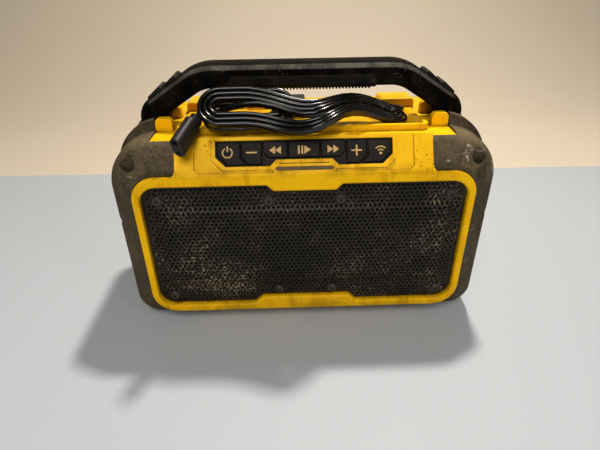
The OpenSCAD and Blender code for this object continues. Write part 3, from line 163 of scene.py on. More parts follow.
class Book:
    """One material's node tree, with one method that makes any node."""

    def __init__(self, name: str) -> None:
        """Starts a material with a Principled surface.

        Args:
            name: Name of the material, which gets an ending that sets it apart from the record's slots.
        """
        self.material = bpy.data.materials.new(name + FINISH_END)
        self.material.use_nodes = True
        self.tree = self.material.node_tree
        self.surface = self.tree.nodes["Principled BSDF"]
        self.place = self.field("ShaderNodeTexCoord", {}, {}, "Object")

    def node(self, kind: str, settings: dict, inputs: dict) -> bpy.types.Node:
        """Makes a node.

        Args:
            kind: The node's type.
            settings: Properties that are set first.
            inputs: Values, fields or sockets by the input's name or number.

        Returns:
            The new node.
        """
        made = self.tree.nodes.new(kind)
        for key, value in settings.items():
            setattr(made, key, value)
        for key, value in inputs.items():
            self.join(made.inputs[key], value)
        return made

    def join(self, socket: bpy.types.NodeSocket, value: "Field | float | Sequence[float]") -> None:
        """Links a field to a socket, or sets the socket's own value."""
        if isinstance(value, Field):
            self.tree.links.new(value.socket, socket)
        else:
            socket.default_value = value

    def field(self, kind: str, settings: dict, inputs: dict, output: int | str = 0) -> Field:
        """Makes a node and wraps one of its outputs."""
        return Field(self, self.node(kind, settings, inputs).outputs[output])

    def stretched(self, x: float, y: float, z: float) -> Field:
        """Object coordinates scaled along each axis."""
        return self.field("ShaderNodeMapping", {}, {"Vector": self.place, "Scale": (x, y, z)})

    def noise(self, scale: float, detail: float = 3.0, rough: float = 0.55, at: Field | None = None) -> Field:
        """Cloudy noise, from about 0.25 to 0.75."""
        return self.field(
            "ShaderNodeTexNoise", {},
            {"Vector": at or self.place, "Scale": scale, "Detail": detail, "Roughness": rough},
        )

    def cells(self, scale: float) -> Field:
        """Distance to scattered points."""
        return self.field("ShaderNodeTexVoronoi", {}, {"Vector": self.place, "Scale": scale})

    def axis(self, name: str) -> Field:
        """One coordinate of the surface point, in metres."""
        return self.field("ShaderNodeSeparateXYZ", {}, {0: self.place}, name)

    def hollow(self, reach: float) -> Field:
        """How enclosed a point is by what is around it, from 0 to 1; where it darkens a colour, that
        darkening is painted shade.
        """
        return 1.0 - self.field("ShaderNodeAmbientOcclusion", {"samples": 6}, {"Distance": reach}, "AO")

    def vector(self, operation: str, inputs: dict, output: str = "Value") -> Field:
        """One Vector Math node."""
        return self.field("ShaderNodeVectorMath", {"operation": operation}, inputs, output)

    def _close(self, a: "Field | Point", b: "Field | Point", reach: float) -> Field:
        """1 where two places are close together, falling to 0 at the given distance."""
        full = reach * 0.35
        return 1.0 - self.vector("DISTANCE", {0: a, 1: b}).step(full, reach)

    def near(self, point: Point, reach: float) -> Field:
        """1 close to a point, falling to 0 at the given distance."""
        return self._close(self.place, point, reach)

    def along(self, start: Point, end: Point, reach: float) -> Field:
        """1 close to a straight stroke between two points, falling to 0 at the given distance."""
        run = tuple(b - a for a, b in zip(start, end))
        whole = sum(v * v for v in run)
        off = self.vector("SUBTRACT", {0: self.place, 1: start}, "Vector")
        share = self.vector("DOT_PRODUCT", {0: off, 1: run}) * (1.0 / whole)
        foot = self.vector("SCALE", {0: run, "Scale": share.most(0.0).least(1.0)}, "Vector")
        return self._close(off, foot, reach)

    def facing(self, way: Point = (0.0, 0.0, 1.0)) -> Field:
        """How far the surface faces a direction, by default up, from -1 to 1."""
        normal = self.field("ShaderNodeNewGeometry", {}, {}, "Normal")
        return self.vector("DOT_PRODUCT", {0: normal, 1: way})

    def mix(
        self, amount: "Field | float", a: "Field | Sequence[float]", b: "Field | Sequence[float]",
    ) -> Field:
        """Blend of two colours."""
        return self.field("ShaderNodeMix", {"data_type": "RGBA"}, {0: amount, 6: a, 7: b}, 2)

    def finish(
        self, colour: "Field | Sequence[float]", rough: "Field | float", height: Field | None = None,
        depth: float = 0.0002, strength: float = 0.4, **constants: float,
    ) -> bpy.types.Material:
        """Feeds the surface and returns the material.

        Args:
            colour: Base colour.
            rough: Roughness.
            height: Relief for a Bump node.
            depth: Height of the relief in metres.
            strength: Strength of the relief.
            constants: Further Principled values, with underscores for spaces.

        Returns:
            The finished material.
        """
        self.join(self.surface.inputs["Base Color"], colour)
        self.join(self.surface.inputs["Roughness"], rough)
        for key, value in constants.items():
            self.join(self.surface.inputs[key.replace("_", " ")], value)
        if height is not None:
            relief = {"Strength": strength, "Distance": depth, "Height": height}
            self.join(self.surface.inputs["Normal"], self.field("ShaderNodeBump", {}, relief))
        return self.material


@dataclass(frozen=True)
class ShellPlastic:
    """Yellow moulded shell: warm, satin, scuffed, with soiling and painted shade in its corners and gaps, and
    darker towards the ground.

    Attributes:
        corner: How far painted shade and soiling spread out of a corner, and seam_shade how far painted shade
            spreads out of a narrow gap.
        low: Heights between which the colour darkens downwards, partly as painted shade under the body and
            partly as soiling from the ground.
        foot_rise: Heights between which the soiling at the panel's foot begins, and foot_fall ends.
        specks_at: Where dark specks gather, and specks_reach how far.
    """

    name: str = "shell_yellow"
    colour: str = "#f7bf08"
    deep: str = "#d99b02"
    pale: str = "#ffd23c"
    smeared: str = "#a87206"
    # Dark colour for painted shade in corners and gaps, and for soiling and specks.
    dirt_and_shade: str = "#3a2810"
    corner: float = 8.0 * MM
    seam_shade: float = 2.2 * MM
    low: Flat = (34 * MM, 12 * MM)
    foot_rise: Flat = (123.5 * MM, 126.2 * MM)
    foot_fall: Flat = (127.5 * MM, 132.5 * MM)
    specks_at: Point = (78 * MM, -56 * MM, 132 * MM)
    specks_reach: float = 16 * MM
    depth: float = 0.10 * MM

    def build(self) -> bpy.types.Material:
        """Makes the material."""
        b = Book(self.name)
        tone = b.noise(45, 5, 0.6).step(0.40, 0.62)
        cloud = b.noise(110, 6, 0.68)
        height = b.axis("Z")
        # Darker towards the ground: partly painted shade under the body, partly soiling.
        low = height.step(*self.low) * (0.30 + b.noise(60, 7, 0.72).step(0.42, 0.60) * 0.7)
        foot = height.step(*self.foot_rise) * (1.0 - height.step(*self.foot_fall))
        # Painted shade in corners, broken up by noise as soiling.
        shade_and_grime = b.hollow(self.corner).step(0.22, 0.80) * cloud.step(0.34, 0.60) * 0.85
        # Painted shade in narrow gaps and seams, such as round the light bar.
        seam_shade = b.hollow(self.seam_shade).step(0.20, 0.52) * cloud.step(0.24, 0.50) * 0.80
        shade_and_grime = (shade_and_grime.most(seam_shade) + foot * cloud.step(0.36, 0.62) * 0.22 + low * 0.55).least(0.9)
        smear = b.noise(70, 7, 0.7, b.stretched(1.0, 1.0, 0.35)).step(0.52, 0.66) * 0.55
        scratch = b.noise(34, 3, 0.6, b.stretched(1.0, 1.0, 16.0)).step(0.655, 0.69)
        scratch = scratch * b.noise(14).step(0.46, 0.60)
        cluster = b.near(self.specks_at, self.specks_reach) + b.noise(26, 3).step(0.54, 0.66)
        specks = b.cells(420).step(0.30, 0.14) * cluster.least(1.0) * b.noise(300).step(0.42, 0.56)
        colour = b.mix(tone * 0.35, linear(self.colour), linear(self.deep))
        colour = b.mix(scratch * 0.55, colour, linear(self.pale))
        colour = b.mix(smear, colour, linear(self.smeared))
        # Painted shade and soiling, with the dark specks, mixed towards one dark colour.
        colour = b.mix((shade_and_grime + specks * 0.9).least(0.92), colour, linear(self.dirt_and_shade))
        rough = 0.36 + b.noise(90, 3) * 0.16 + smear * 0.3 + shade_and_grime * 0.3 + scratch * 0.15
        relief = b.noise(1500, 2) * 0.5 + b.noise(260, 3) * 0.5 - scratch * 0.4 - specks * 0.5
        return b.finish(colour, rough, relief, self.depth, 0.40, Specular_IOR_Level=0.10)


@dataclass(frozen=True)
class Rub:
    """One straight rub, in millimetres."""

    start: Point
    end: Point
    reach: float
    strength: float

    def on(self, b: Book) -> Field:
        """The rub as a mask."""
        ends = (tuple(v * MM for v in point) for point in (self.start, self.end))
        return b.along(*ends, self.reach * MM) * self.strength


@dataclass(frozen=True)
class BumperRubber:
    """Thick brown-grey rubber with dust and pale rubs, painted shade in its corners and painted shade along
    an upright groove.

    Attributes:
        corner: How far the painted shade of a corner spreads.
        worn_at: Where streaks gather, and worn_reach how far.
        scuff_at: Where a pale cloud lies, and scuff_reach how far.
        groove_x: Middle of the upright groove on either side.
        groove_half: Half of its width, at the top of its flanks and at its floor.
        groove_z: Its lower and upper end, and groove_end how softly they run out.
        groove_y: Where it fades in, towards the front.
        rubs: Single rubs at the right upper corner.
    """

    name: str = "bumper_rubber"
    colour: str = "#1d160e"
    dust: str = "#8a7a5c"
    rub: str = "#c9c1b4"
    # Dark colour for pits, and for painted shade in corners and along the groove.
    dark: str = "#120e09"
    corner: float = 9 * MM
    worn_at: Point = (111 * MM, -55 * MM, 134 * MM)
    worn_reach: float = 17 * MM
    scuff_at: Point = (127.5 * MM, -43 * MM, 120.5 * MM)
    scuff_reach: float = 13 * MM
    groove_x: float = 118 * MM
    groove_half: Flat = (4.2 * MM, 2.4 * MM)
    groove_z: Flat = (112 * MM, 133 * MM)
    groove_end: float = 3 * MM
    groove_y: Flat = (-40 * MM, -46 * MM)
    depth: float = 0.28 * MM
    rubs: tuple[Rub, ...] = (
        Rub((105.1, -53.2, 137.9), (108.7, -57.0, 131.7), 1.1, 1.0),
        Rub((107.5, -51.5, 140.5), (109.6, -52.2, 139.4), 2.1, 0.9),
        Rub((106.0, -54.5, 134.0), (106.8, -55.8, 132.2), 1.2, 0.7),
        Rub((125.7, -46.0, 127.4), (129.4, -46.0, 116.3), 2.6, 0.45),
        Rub((93.0, -56.6, 132.4), (93.8, -56.8, 132.2), 1.1, 0.8),
    )

    def build(self) -> bpy.types.Material:
        """Makes the material."""
        b = Book(self.name)
        cloud = b.noise(34, 8, 0.74).step(0.38, 0.64)
        fine = b.noise(420, 5, 0.7).step(0.40, 0.62)
        lying = b.facing().step(0.0, 0.9)
        dust = 0.12 + cloud * 0.14 + fine * 0.13 + lying * cloud * 0.14 + lying * 0.14
        worn = b.near(self.worn_at, self.worn_reach) * 0.35 + b.noise(16).step(0.54, 0.64) * 0.6
        streak = b.noise(48, 5, 0.65, b.stretched(1.0, 1.0, 4.0)).step(0.60, 0.66) * worn.least(1.0)
        broken = b.noise(520, 4, 0.7).step(0.38, 0.56)
        patch = b.noise(120, 7, 0.7).step(0.40, 0.66) * b.near(self.scuff_at, self.scuff_reach) * 0.30
        for rub in self.rubs:
            patch = patch + rub.on(b) * broken
        # Painted shade in corners.
        hollow_shade = b.hollow(self.corner).step(0.14, 0.60)
        pits = b.cells(260).step(0.34, 0.16) * b.noise(30).step(0.48, 0.62)
        groove = (b.axis("X").size() - self.groove_x).size().step(*self.groove_half)
        groove = groove * b.axis("Z").within(*self.groove_z, self.groove_end)
        groove = groove * b.axis("Y").step(*self.groove_y)
        colour = b.mix(dust, linear(self.colour), linear(self.dust))
        colour = b.mix((streak * 0.75 + patch * 0.85).least(0.9), colour, linear(self.rub))
        # Pits, with painted shade along the groove and in corners, darken towards one dark colour.
        colour = b.mix((pits * 0.4 + groove * 0.25 + hollow_shade * 0.60).least(0.8), colour, linear(self.dark))
        rough = 0.66 + dust * 0.28
        relief = b.noise(900, 4, 0.6) * 0.7 + b.noise(180, 4) * 0.6 - pits * 0.8 + streak * 0.4 - groove * 2.4
        return b.finish(colour, rough, relief, self.depth, 0.6, Specular_IOR_Level=0.16)


@dataclass(frozen=True)
class DarkMoulding:
    """Fine-grained dark plastic or rubber with some dust.

    Attributes:
        dusty: Amount of dust.
        grain: Fineness of the grain, and depth its height in metres.
        shine: Strength of the highlights.
    """

    name: str
    colour: str
    dust: str
    rough: float = 0.5
    dusty: float = 0.25
    grain: float = 1400.0
    depth: float = 0.10 * MM
    shine: float = 0.3

    def build(self) -> bpy.types.Material:
        """Makes the material."""
        b = Book(self.name)
        cloud = b.noise(45, 6, 0.65).step(0.40, 0.72)
        lying = b.facing().step(0.2, 0.95) * b.noise(120, 5, 0.7).step(0.38, 0.72)
        scrape = b.noise(40, 3, 0.6, b.stretched(10.0, 1.0, 1.0)).step(0.67, 0.72)
        fleck = b.cells(380).step(0.24, 0.10) * b.noise(70, 4, 0.7).step(0.52, 0.62)
        dust = ((cloud * 0.4 + lying * 0.4 + scrape * 0.6 + fleck * 1.6) * self.dusty).least(0.9)
        colour = b.mix(dust, linear(self.colour), linear(self.dust))
        rough = self.rough + dust * 0.5 + b.noise(200, 2) * 0.1 - 0.05
        relief = b.noise(self.grain, 3)
        return b.finish(colour, rough, relief, self.depth, 0.4, Specular_IOR_Level=self.shine)


@dataclass(frozen=True)
class HandlePlastic:
    """Near-black moulding with a painted highlight along its front upper edge, flecks and a few scrapes."""

    name: str = "handle_black"
    colour: str = "#070605"
    dust: str = "#6f6352"
    # Colour of the painted highlight along the front upper edge.
    rim: str = "#8f8a7e"
    highlight_way: Point = (0.0, -0.80, 0.60)
    depth: float = 0.10 * MM

    def build(self) -> bpy.types.Material:
        """Makes the material."""
        b = Book(self.name)
        cloud = b.noise(45, 6, 0.65).step(0.42, 0.70)
        # Painted highlight: faces turned towards the front and up are lightened, broken up by noise.
        edge = b.facing(self.highlight_way).step(0.90, 0.985)
        edge = edge * (0.4 + b.noise(80, 5, 0.7).step(0.36, 0.60) * 0.6)
        fleck = b.cells(420).step(0.24, 0.10) * b.noise(75, 4, 0.7).step(0.50, 0.62)
        scrape = b.noise(40, 3, 0.6, b.stretched(1.0, 10.0, 1.0)).step(0.66, 0.71)
        dust = (cloud * 0.07 + fleck * 0.55 + scrape * 0.16).least(0.9)
        colour = b.mix(dust, linear(self.colour), linear(self.dust))
        colour = b.mix(edge * 0.42, colour, linear(self.rim))
        rough = 0.48 + dust * 0.4 + b.noise(200, 2) * 0.1
        relief = b.noise(1100, 3) + fleck * 0.6
        return b.finish(colour, rough, relief, self.depth, 0.4, Specular_IOR_Level=0.02)


@dataclass(frozen=True)
class Patch:
    """One patch of dust on the grille, in millimetres."""

    x: float
    z: float
    reach: float
    strength: float


@dataclass(frozen=True)
class GrilleSteel:
    """Black powder-coated sheet with small chips, dull with dust that gathers in patches.

    Attributes:
        face_y: Where the sheet's face stands.
        patches: Patches of dust, from the strongest at the lower left.
    """

    name: str = "grille_steel"
    colour: str = "#12100e"
    dust: str = "#b8a585"
    chipped: str = "#9a938a"
    face_y: float = -56 * MM
    depth: float = 0.06 * MM
    patches: tuple[Patch, ...] = (
        Patch(-55, 43, 26, 1.10), Patch(-85, 44, 24, 0.60), Patch(-85, 100, 20, 0.75),
        Patch(-79, 64, 20, 0.55), Patch(99, 106, 18, 0.70), Patch(97, 75, 26, 0.45),
        Patch(93, 34, 20, 0.55), Patch(45, 40, 34, 0.35), Patch(-24, 106, 10, 0.50),
    )

    def build(self) -> bpy.types.Material:
        """Makes the material."""
        b = Book(self.name)
        fine = b.noise(560, 5, 0.78).step(0.52, 0.59)
        cloud = b.noise(40, 6, 0.70).step(0.46, 0.62)
        grain = b.noise(1500, 3, 0.7).step(0.54, 0.64)
        dust = fine * cloud * 0.08 + grain * 0.14 + grain * cloud * 0.08
        for p in self.patches:
            spot = b.near((p.x * MM, self.face_y, p.z * MM), p.reach * MM)
            dust = dust + spot * fine * (0.3 + cloud * 0.7) * p.strength
        dust = dust.least(0.85)
        chips = b.cells(300).step(0.20, 0.12) * b.noise(40).step(0.56, 0.66)
        colour = b.mix(dust, linear(self.colour), linear(self.dust))
        colour = b.mix(chips * 0.7, colour, linear(self.chipped))
        rough = 0.42 + dust * 0.5
        return b.finish(colour, rough, b.noise(1100, 3), self.depth, 0.4, Specular_IOR_Level=0.2)


@dataclass(frozen=True)
class ScrewMetal:
    """Turned fastener, darker in its recess from rust and painted shade."""

    name: str
    colour: str
    rust_and_shade: str
    metallic: float = 0.9
    rough: float = 0.42
    recess: float = 1.5 * MM
    depth: float = 0.03 * MM

    def build(self) -> bpy.types.Material:
        """Makes the material."""
        b = Book(self.name)
        stain = b.noise(500, 5, 0.65).step(0.45, 0.68)
        # Painted shade in the head's recess, mixed towards the rust colour with the stains.
        hollow_shade = b.hollow(self.recess).step(0.3, 0.9)
        colour = b.mix((stain * 0.5 + hollow_shade * 0.5).least(0.9), linear(self.colour), linear(self.rust_and_shade))
        rough = self.rough + stain * 0.25
        return b.finish(colour, rough, b.noise(2200, 2), self.depth, 0.3, Metallic=self.metallic)


@dataclass(frozen=True)
class IconPaint:
    """Cream-gold print on the keys, thin in places."""

    name: str = "icon_paint"
    colour: str = "#c39c54"
    thin: str = "#6b5a34"
    depth: float = 0.02 * MM

    def build(self) -> bpy.types.Material:
        """Makes the material."""
        b = Book(self.name)
        worn = b.noise(700, 4, 0.7).step(0.52, 0.70) * 0.5
        colour = b.mix(worn, linear(self.colour), linear(self.thin))
        return b.finish(colour, 0.5 + worn * 0.3, b.noise(2500, 2), self.depth, 0.3)


@dataclass(frozen=True)
class LeadCover:
    """Smooth black flexible cover of the mains lead."""

    name: str = "lead_cover"
    colour: str = "#070707"
    dust: str = "#4d463c"
    depth: float = 0.06 * MM

    def build(self) -> bpy.types.Material:
        """Makes the material."""
        b = Book(self.name)
        dust = b.noise(130, 5, 0.7).step(0.52, 0.76) * 0.12
        colour = b.mix(dust, linear(self.colour), linear(self.dust))
        rough = 0.15 + dust * 0.9 + b.noise(300, 2) * 0.08
        return b.finish(colour, rough, b.noise(420, 3), self.depth, 0.35)


@dataclass(frozen=True)
class WovenOrPaper:
    """Fibrous driver parts and boards."""

    name: str
    colour: str
    other: str
    scale: float = 900.0
    rough: float = 0.85
    depth: float = 0.08 * MM

    def build(self) -> bpy.types.Material:
        """Makes the material."""
        b = Book(self.name)
        fibre = b.noise(self.scale, 5, 0.7).step(0.4, 0.65)
        colour = b.mix(fibre * 0.6, linear(self.colour), linear(self.other))
        return b.finish(colour, self.rough + fibre * 0.1, fibre, self.depth, 0.4)


@dataclass(frozen=True)
class LightBar:
    """Frosted light bar, unlit."""

    name: str = "light_bar"
    colour: str = "#66573c"
    smudged: str = "#3d3322"
    depth: float = 0.04 * MM

    def build(self) -> bpy.types.Material:
        """Makes the material."""
        b = Book(self.name)
        smudge = b.noise(260, 4, 0.6).step(0.42, 0.7)
        colour = b.mix(smudge * 0.4, linear(self.colour), linear(self.smudged))
        rough = 0.45 + smudge * 0.2
        return b.finish(colour, rough, b.noise(1200, 2), self.depth, 0.3, Specular_IOR_Level=0.1)


class Finish(Enum):
    """Finishes by the name that pieces ask for."""

    SHELL = ShellPlastic()
    BUMPER = BumperRubber()
    HANDLE = HandlePlastic()
    GRIP = DarkMoulding("grip_rubber", "#0a0805", "#5c4a30", 0.60, 0.46, 1300.0, 0.12 * MM, 0.18)
    PADS = DarkMoulding("pad_rubber", "#13100c", "#5d5344", 0.66, 0.45, 900.0, 0.16 * MM, 0.18)
    KEYPAD = DarkMoulding("keypad_satin", "#100d0a", "#5a4d38", 0.52, 0.26, 1600.0, 0.06 * MM, 0.12)
    TRIM = DarkMoulding("black_trim", "#1a1a1c", "#59524a", 0.52, 0.22)
    # The baffle's own black, also used for the painted shade rings in the connector's holes.
    DEEP = DarkMoulding("baffle_black_and_hole_shade", "#060606", "#1c1813", 0.8, 0.3)
    FEET = DarkMoulding("foot_rubber", "#191715", "#5a5046", 0.82, 0.35)
    CONNECTOR = DarkMoulding("connector_moulding", "#131314", "#4d473f", 0.44, 0.28, 1700.0, 0.07 * MM)
    GRILLE = GrilleSteel()
    BLACK_SCREW = ScrewMetal("black_screw", "#4a4642", "#2c2018", 0.7, 0.45)
    STEEL = ScrewMetal("plated_steel", "#b9bac0", "#7d7468", 1.0, 0.34)
    CONTACT = ScrewMetal("brass_contact", "#c9a55a", "#7b5f2c", 1.0, 0.30)
    ICON = IconPaint()
    LEAD = LeadCover()
    LIGHT = LightBar()
    CONE = WovenOrPaper("cone_paper", "#2b2b2d", "#3d3c3c")
    SPIDER = WovenOrPaper("spider_cloth", "#a87a38", "#c79c58", 1500.0)
    BOARD = WovenOrPaper("circuit_board", "#0f4a26", "#1c6a3a", 500.0, 0.45)
    BASKET = ScrewMetal("basket_paint", "#3a3a3f", "#242427", 0.5, 0.5)
    MAGNET = ScrewMetal("magnet_plate", "#77787d", "#4b4740", 0.8, 0.45)

    def material(self) -> bpy.types.Material:
        """The finish's material, made on first use."""
        return bpy.data.materials.get(self.value.name + FINISH_END) or self.value.build()


@dataclass(frozen=True)
class Rounding:
    """One pass of rounding over a solid's edges.

    Attributes:
        width: Width of the rounded edge in metres.
        segments: Faces across it.
        pick: Test of an edge's two ends; every sharp edge where it is left out.
        sharp: Least angle between the faces of an edge that is rounded, in degrees.
    """

    width: float
    segments: int = 2
    pick: Callable[[Vector, Vector], bool] | None = None
    sharp: float = 28.0


class Pieces:
    """Makes mesh objects and says what carries them.

    Attributes:
        WELD: Distance in metres below which corners are one.
        FOLD: Area in square metres by which a folded face's triangles exceed it.
        FLAT: Angle in degrees below which faces of a solid are one.
        CREASE: Angle in degrees above which a softened solid keeps a sharp edge.
        SHORT: Part of a rounding's width below which an edge is too short for it.
        CLEAR: Part of a rounding's width that an edge keeps from a fold.
    """

    WELD = 2e-6
    FOLD = 2e-8
    FLAT = 0.6
    CREASE = 42.0
    SHORT = 0.4
    CLEAR = 1.6

    @staticmethod
    def add(
        name: str, mesh: bpy.types.Mesh, finish: Finish, body: str = HOUSING,
        stands_for: Iterable[str] = (), slot: str | None = None, smooth: float | None = 40.0,
    ) -> bpy.types.Object:
        """Adds a finished mesh as a piece.

        Args:
            name: Name of the piece.
            mesh: Its mesh, in the part's frame.
            finish: Its finish.
            body: The body that it rides on.
            stands_for: Nodes that it replaces.
            slot: The record's material slot; not used.
            smooth: Angle in degrees below which faces shade smoothly.

        Returns:
            The new object.
        """
        mesh.name = name
        if smooth is not None:
            mesh.polygons.foreach_set("use_smooth", [True] * len(mesh.polygons))
            mesh.set_sharp_from_angle(angle=math.radians(smooth))
        mesh.materials.clear()
        mesh.materials.append(finish.material())
        piece = bpy.data.objects.new(name, mesh)
        bpy.context.scene.collection.objects.link(piece)
        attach(piece, body)
        if stands_for:
            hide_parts(*stands_for)
        LOG.info("%s: %d faces on %s", name, len(mesh.polygons), body)
        return piece

    @staticmethod
    def recast(
        name: str, node: str, rounds: Sequence[Rounding], finish: Finish, slot: str, body: str = HOUSING,
        smooth: float | None = None,
    ) -> bpy.types.Object:
        """Adds a node's own solid with rounded edges, in the node's place.

        Args:
            name: Name of the piece.
            node: The node.
            rounds: Passes of rounding, in order.
            finish: The piece's finish.
            slot: The record's material slot.
            body: The body that it rides on.
            smooth: Angle in degrees below which faces shade smoothly, in place of the solid's own creases.

        Returns:
            The new object.
        """
        return Pieces.add(name, Pieces.softened(node, rounds), finish, body, [node], slot, smooth)

    @staticmethod
    def skinned(
        bm: bmesh.types.BMesh, rings: Sequence[Sequence[bmesh.types.BMVert]], capped: bool = True,
    ) -> None:
        """Joins rings of corners by faces.

        Args:
            bm: The BMesh that holds the corners.
            rings: Rings with as many corners each, in order.
            capped: Whether the first and last ring are closed by a face.
        """
        count = len(rings[0])
        for a, b in zip(rings, rings[1:]):
            for k in range(count):
                n = (k + 1) % count
                bm.faces.new((a[k], a[n], b[n], b[k]))
        if capped:
            bm.faces.new(rings[0][::-1])
            bm.faces.new(rings[-1])
        bmesh.ops.recalc_face_normals(bm, faces=bm.faces)

    @staticmethod
    def from_bmesh(bm: bmesh.types.BMesh) -> bpy.types.Mesh:
        """Writes a BMesh to a new mesh and frees it."""
        mesh = bpy.data.meshes.new("work")
        bm.to_mesh(mesh)
        bm.free()
        return mesh

    @staticmethod
    def _folds(bm: bmesh.types.BMesh) -> list[Vector]:
        """Corners of faces whose triangles fold over each other."""
        bm.normal_update()
        bm.faces.index_update()
        excess: dict[int, float] = {}
        for tri in bm.calc_loop_triangles():
            a, b, c = (loop.vert.co for loop in tri)
            area = (b - a).cross(c - a) / 2
            face = tri[0].face
            excess[face.index] = excess.get(face.index, 0.0) + area.length - area.dot(face.normal)
        bm.faces.ensure_lookup_table()
        folded = [bm.faces[index] for index, over in excess.items() if over > Pieces.FOLD]
        return [v.co.copy() for face in folded for v in face.verts]

    @staticmethod
    def _rounded(bm: bmesh.types.BMesh, r: Rounding, tries: int = 7) -> bmesh.types.BMesh:
        """Rounds sharp edges, and leaves out those whose rounding folds a face.

        Args:
            bm: The solid; it is freed.
            r: The pass of rounding.
            tries: Passes that may leave out edges.

        Returns:
            The rounded solid.
        """
        limit = math.radians(r.sharp)
        spoilt: list[Vector] = []
        for attempt in range(tries):
            trial = bm.copy()
            edges = [
                e for e in trial.edges
                if e.is_manifold and e.calc_face_angle(0.0) > limit
                and e.calc_length() > r.width * Pieces.SHORT
                and (r.pick is None or r.pick(e.verts[0].co, e.verts[1].co))
            ]
            if spoilt and edges:
                ends = np.array([[v.co for v in e.verts] for e in edges])
                marks = np.array(spoilt)
                run = ends[:, 1] - ends[:, 0]
                share = np.einsum("pej,ej->pe", marks[:, None] - ends[None, :, 0], run) / (run * run).sum(1)
                foot = ends[None, :, 0] + np.clip(share, 0, 1)[..., None] * run
                near = np.linalg.norm(foot - marks[:, None], axis=2).min(0)
                edges = [e for e, gap in zip(edges, near) if gap > r.width * Pieces.CLEAR]
            bmesh.ops.bevel(
                trial, geom=edges, offset=r.width, offset_type="OFFSET", segments=r.segments, profile=0.5,
                affect="EDGES", clamp_overlap=False,
            )
            folds = Pieces._folds(trial)
            if not folds or attempt == tries - 1:
                break
            spoilt += folds
            trial.free()
        bm.free()
        bmesh.ops.remove_doubles(trial, verts=trial.verts, dist=Pieces.WELD)
        LOG.info("rounded by %.1f mm in %d tries, %d folds left", r.width / MM, attempt + 1, len(folds))
        return trial

    @staticmethod
    def softened(node: str, rounds: Sequence[Rounding]) -> bpy.types.Mesh:
        """Copies a node's solid and rounds its edges.

        Args:
            node: The node.
            rounds: Passes of rounding, in order.

        Returns:
            A new mesh with flat faces kept flat in shading.
        """
        bm = bmesh.new()
        bm.from_mesh(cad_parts[node].data)
        bmesh.ops.remove_doubles(bm, verts=bm.verts, dist=Pieces.WELD)
        flat = math.radians(Pieces.FLAT)
        bmesh.ops.dissolve_limit(bm, angle_limit=flat, verts=bm.verts, edges=bm.edges)
        for r in rounds:
            bm = Pieces._rounded(bm, r)
        mesh = Pieces.from_bmesh(bm)
        holder = bpy.data.objects.new("work", mesh)
        bpy.context.scene.collection.objects.link(holder)
        mesh.polygons.foreach_set("use_smooth", [True] * len(mesh.polygons))
        mesh.set_sharp_from_angle(angle=math.radians(Pieces.CREASE))
        even = holder.modifiers.new("even", "WEIGHTED_NORMAL")
        even.keep_sharp = True
        even.weight = 80
        return Pieces.baked(holder)

    @staticmethod
    def baked(holder: bpy.types.Object) -> bpy.types.Mesh:
        """Turns an object and its modifiers into a plain mesh and removes the object."""
        graph = bpy.context.evaluated_depsgraph_get()
        mesh = bpy.data.meshes.new_from_object(holder.evaluated_get(graph), depsgraph=graph)
        old = holder.data
        bpy.data.objects.remove(holder)
        if isinstance(old, bpy.types.Mesh):
            bpy.data.meshes.remove(old)
        return mesh

    @staticmethod
    def outline(points: Sequence[Vector], back: Vector) -> bmesh.types.BMesh:
        """A flat outline with a small thickness.

        Args:
            points: Corners of the front face, in order.
            back: Offset of the back face.

        Returns:
            A closed BMesh with its faces outwards.
        """
        bm = bmesh.new()
        front = [bm.verts.new(p) for p in points]
        rear = [bm.verts.new(p + back) for p in points]
        bm.faces.new(front)
        bm.faces.new(rear[::-1])
        for k in range(len(points)):
            n = (k + 1) % len(points)
            bm.faces.new((front[n], front[k], rear[k], rear[n]))
        bmesh.ops.recalc_face_normals(bm, faces=bm.faces)
        return bm


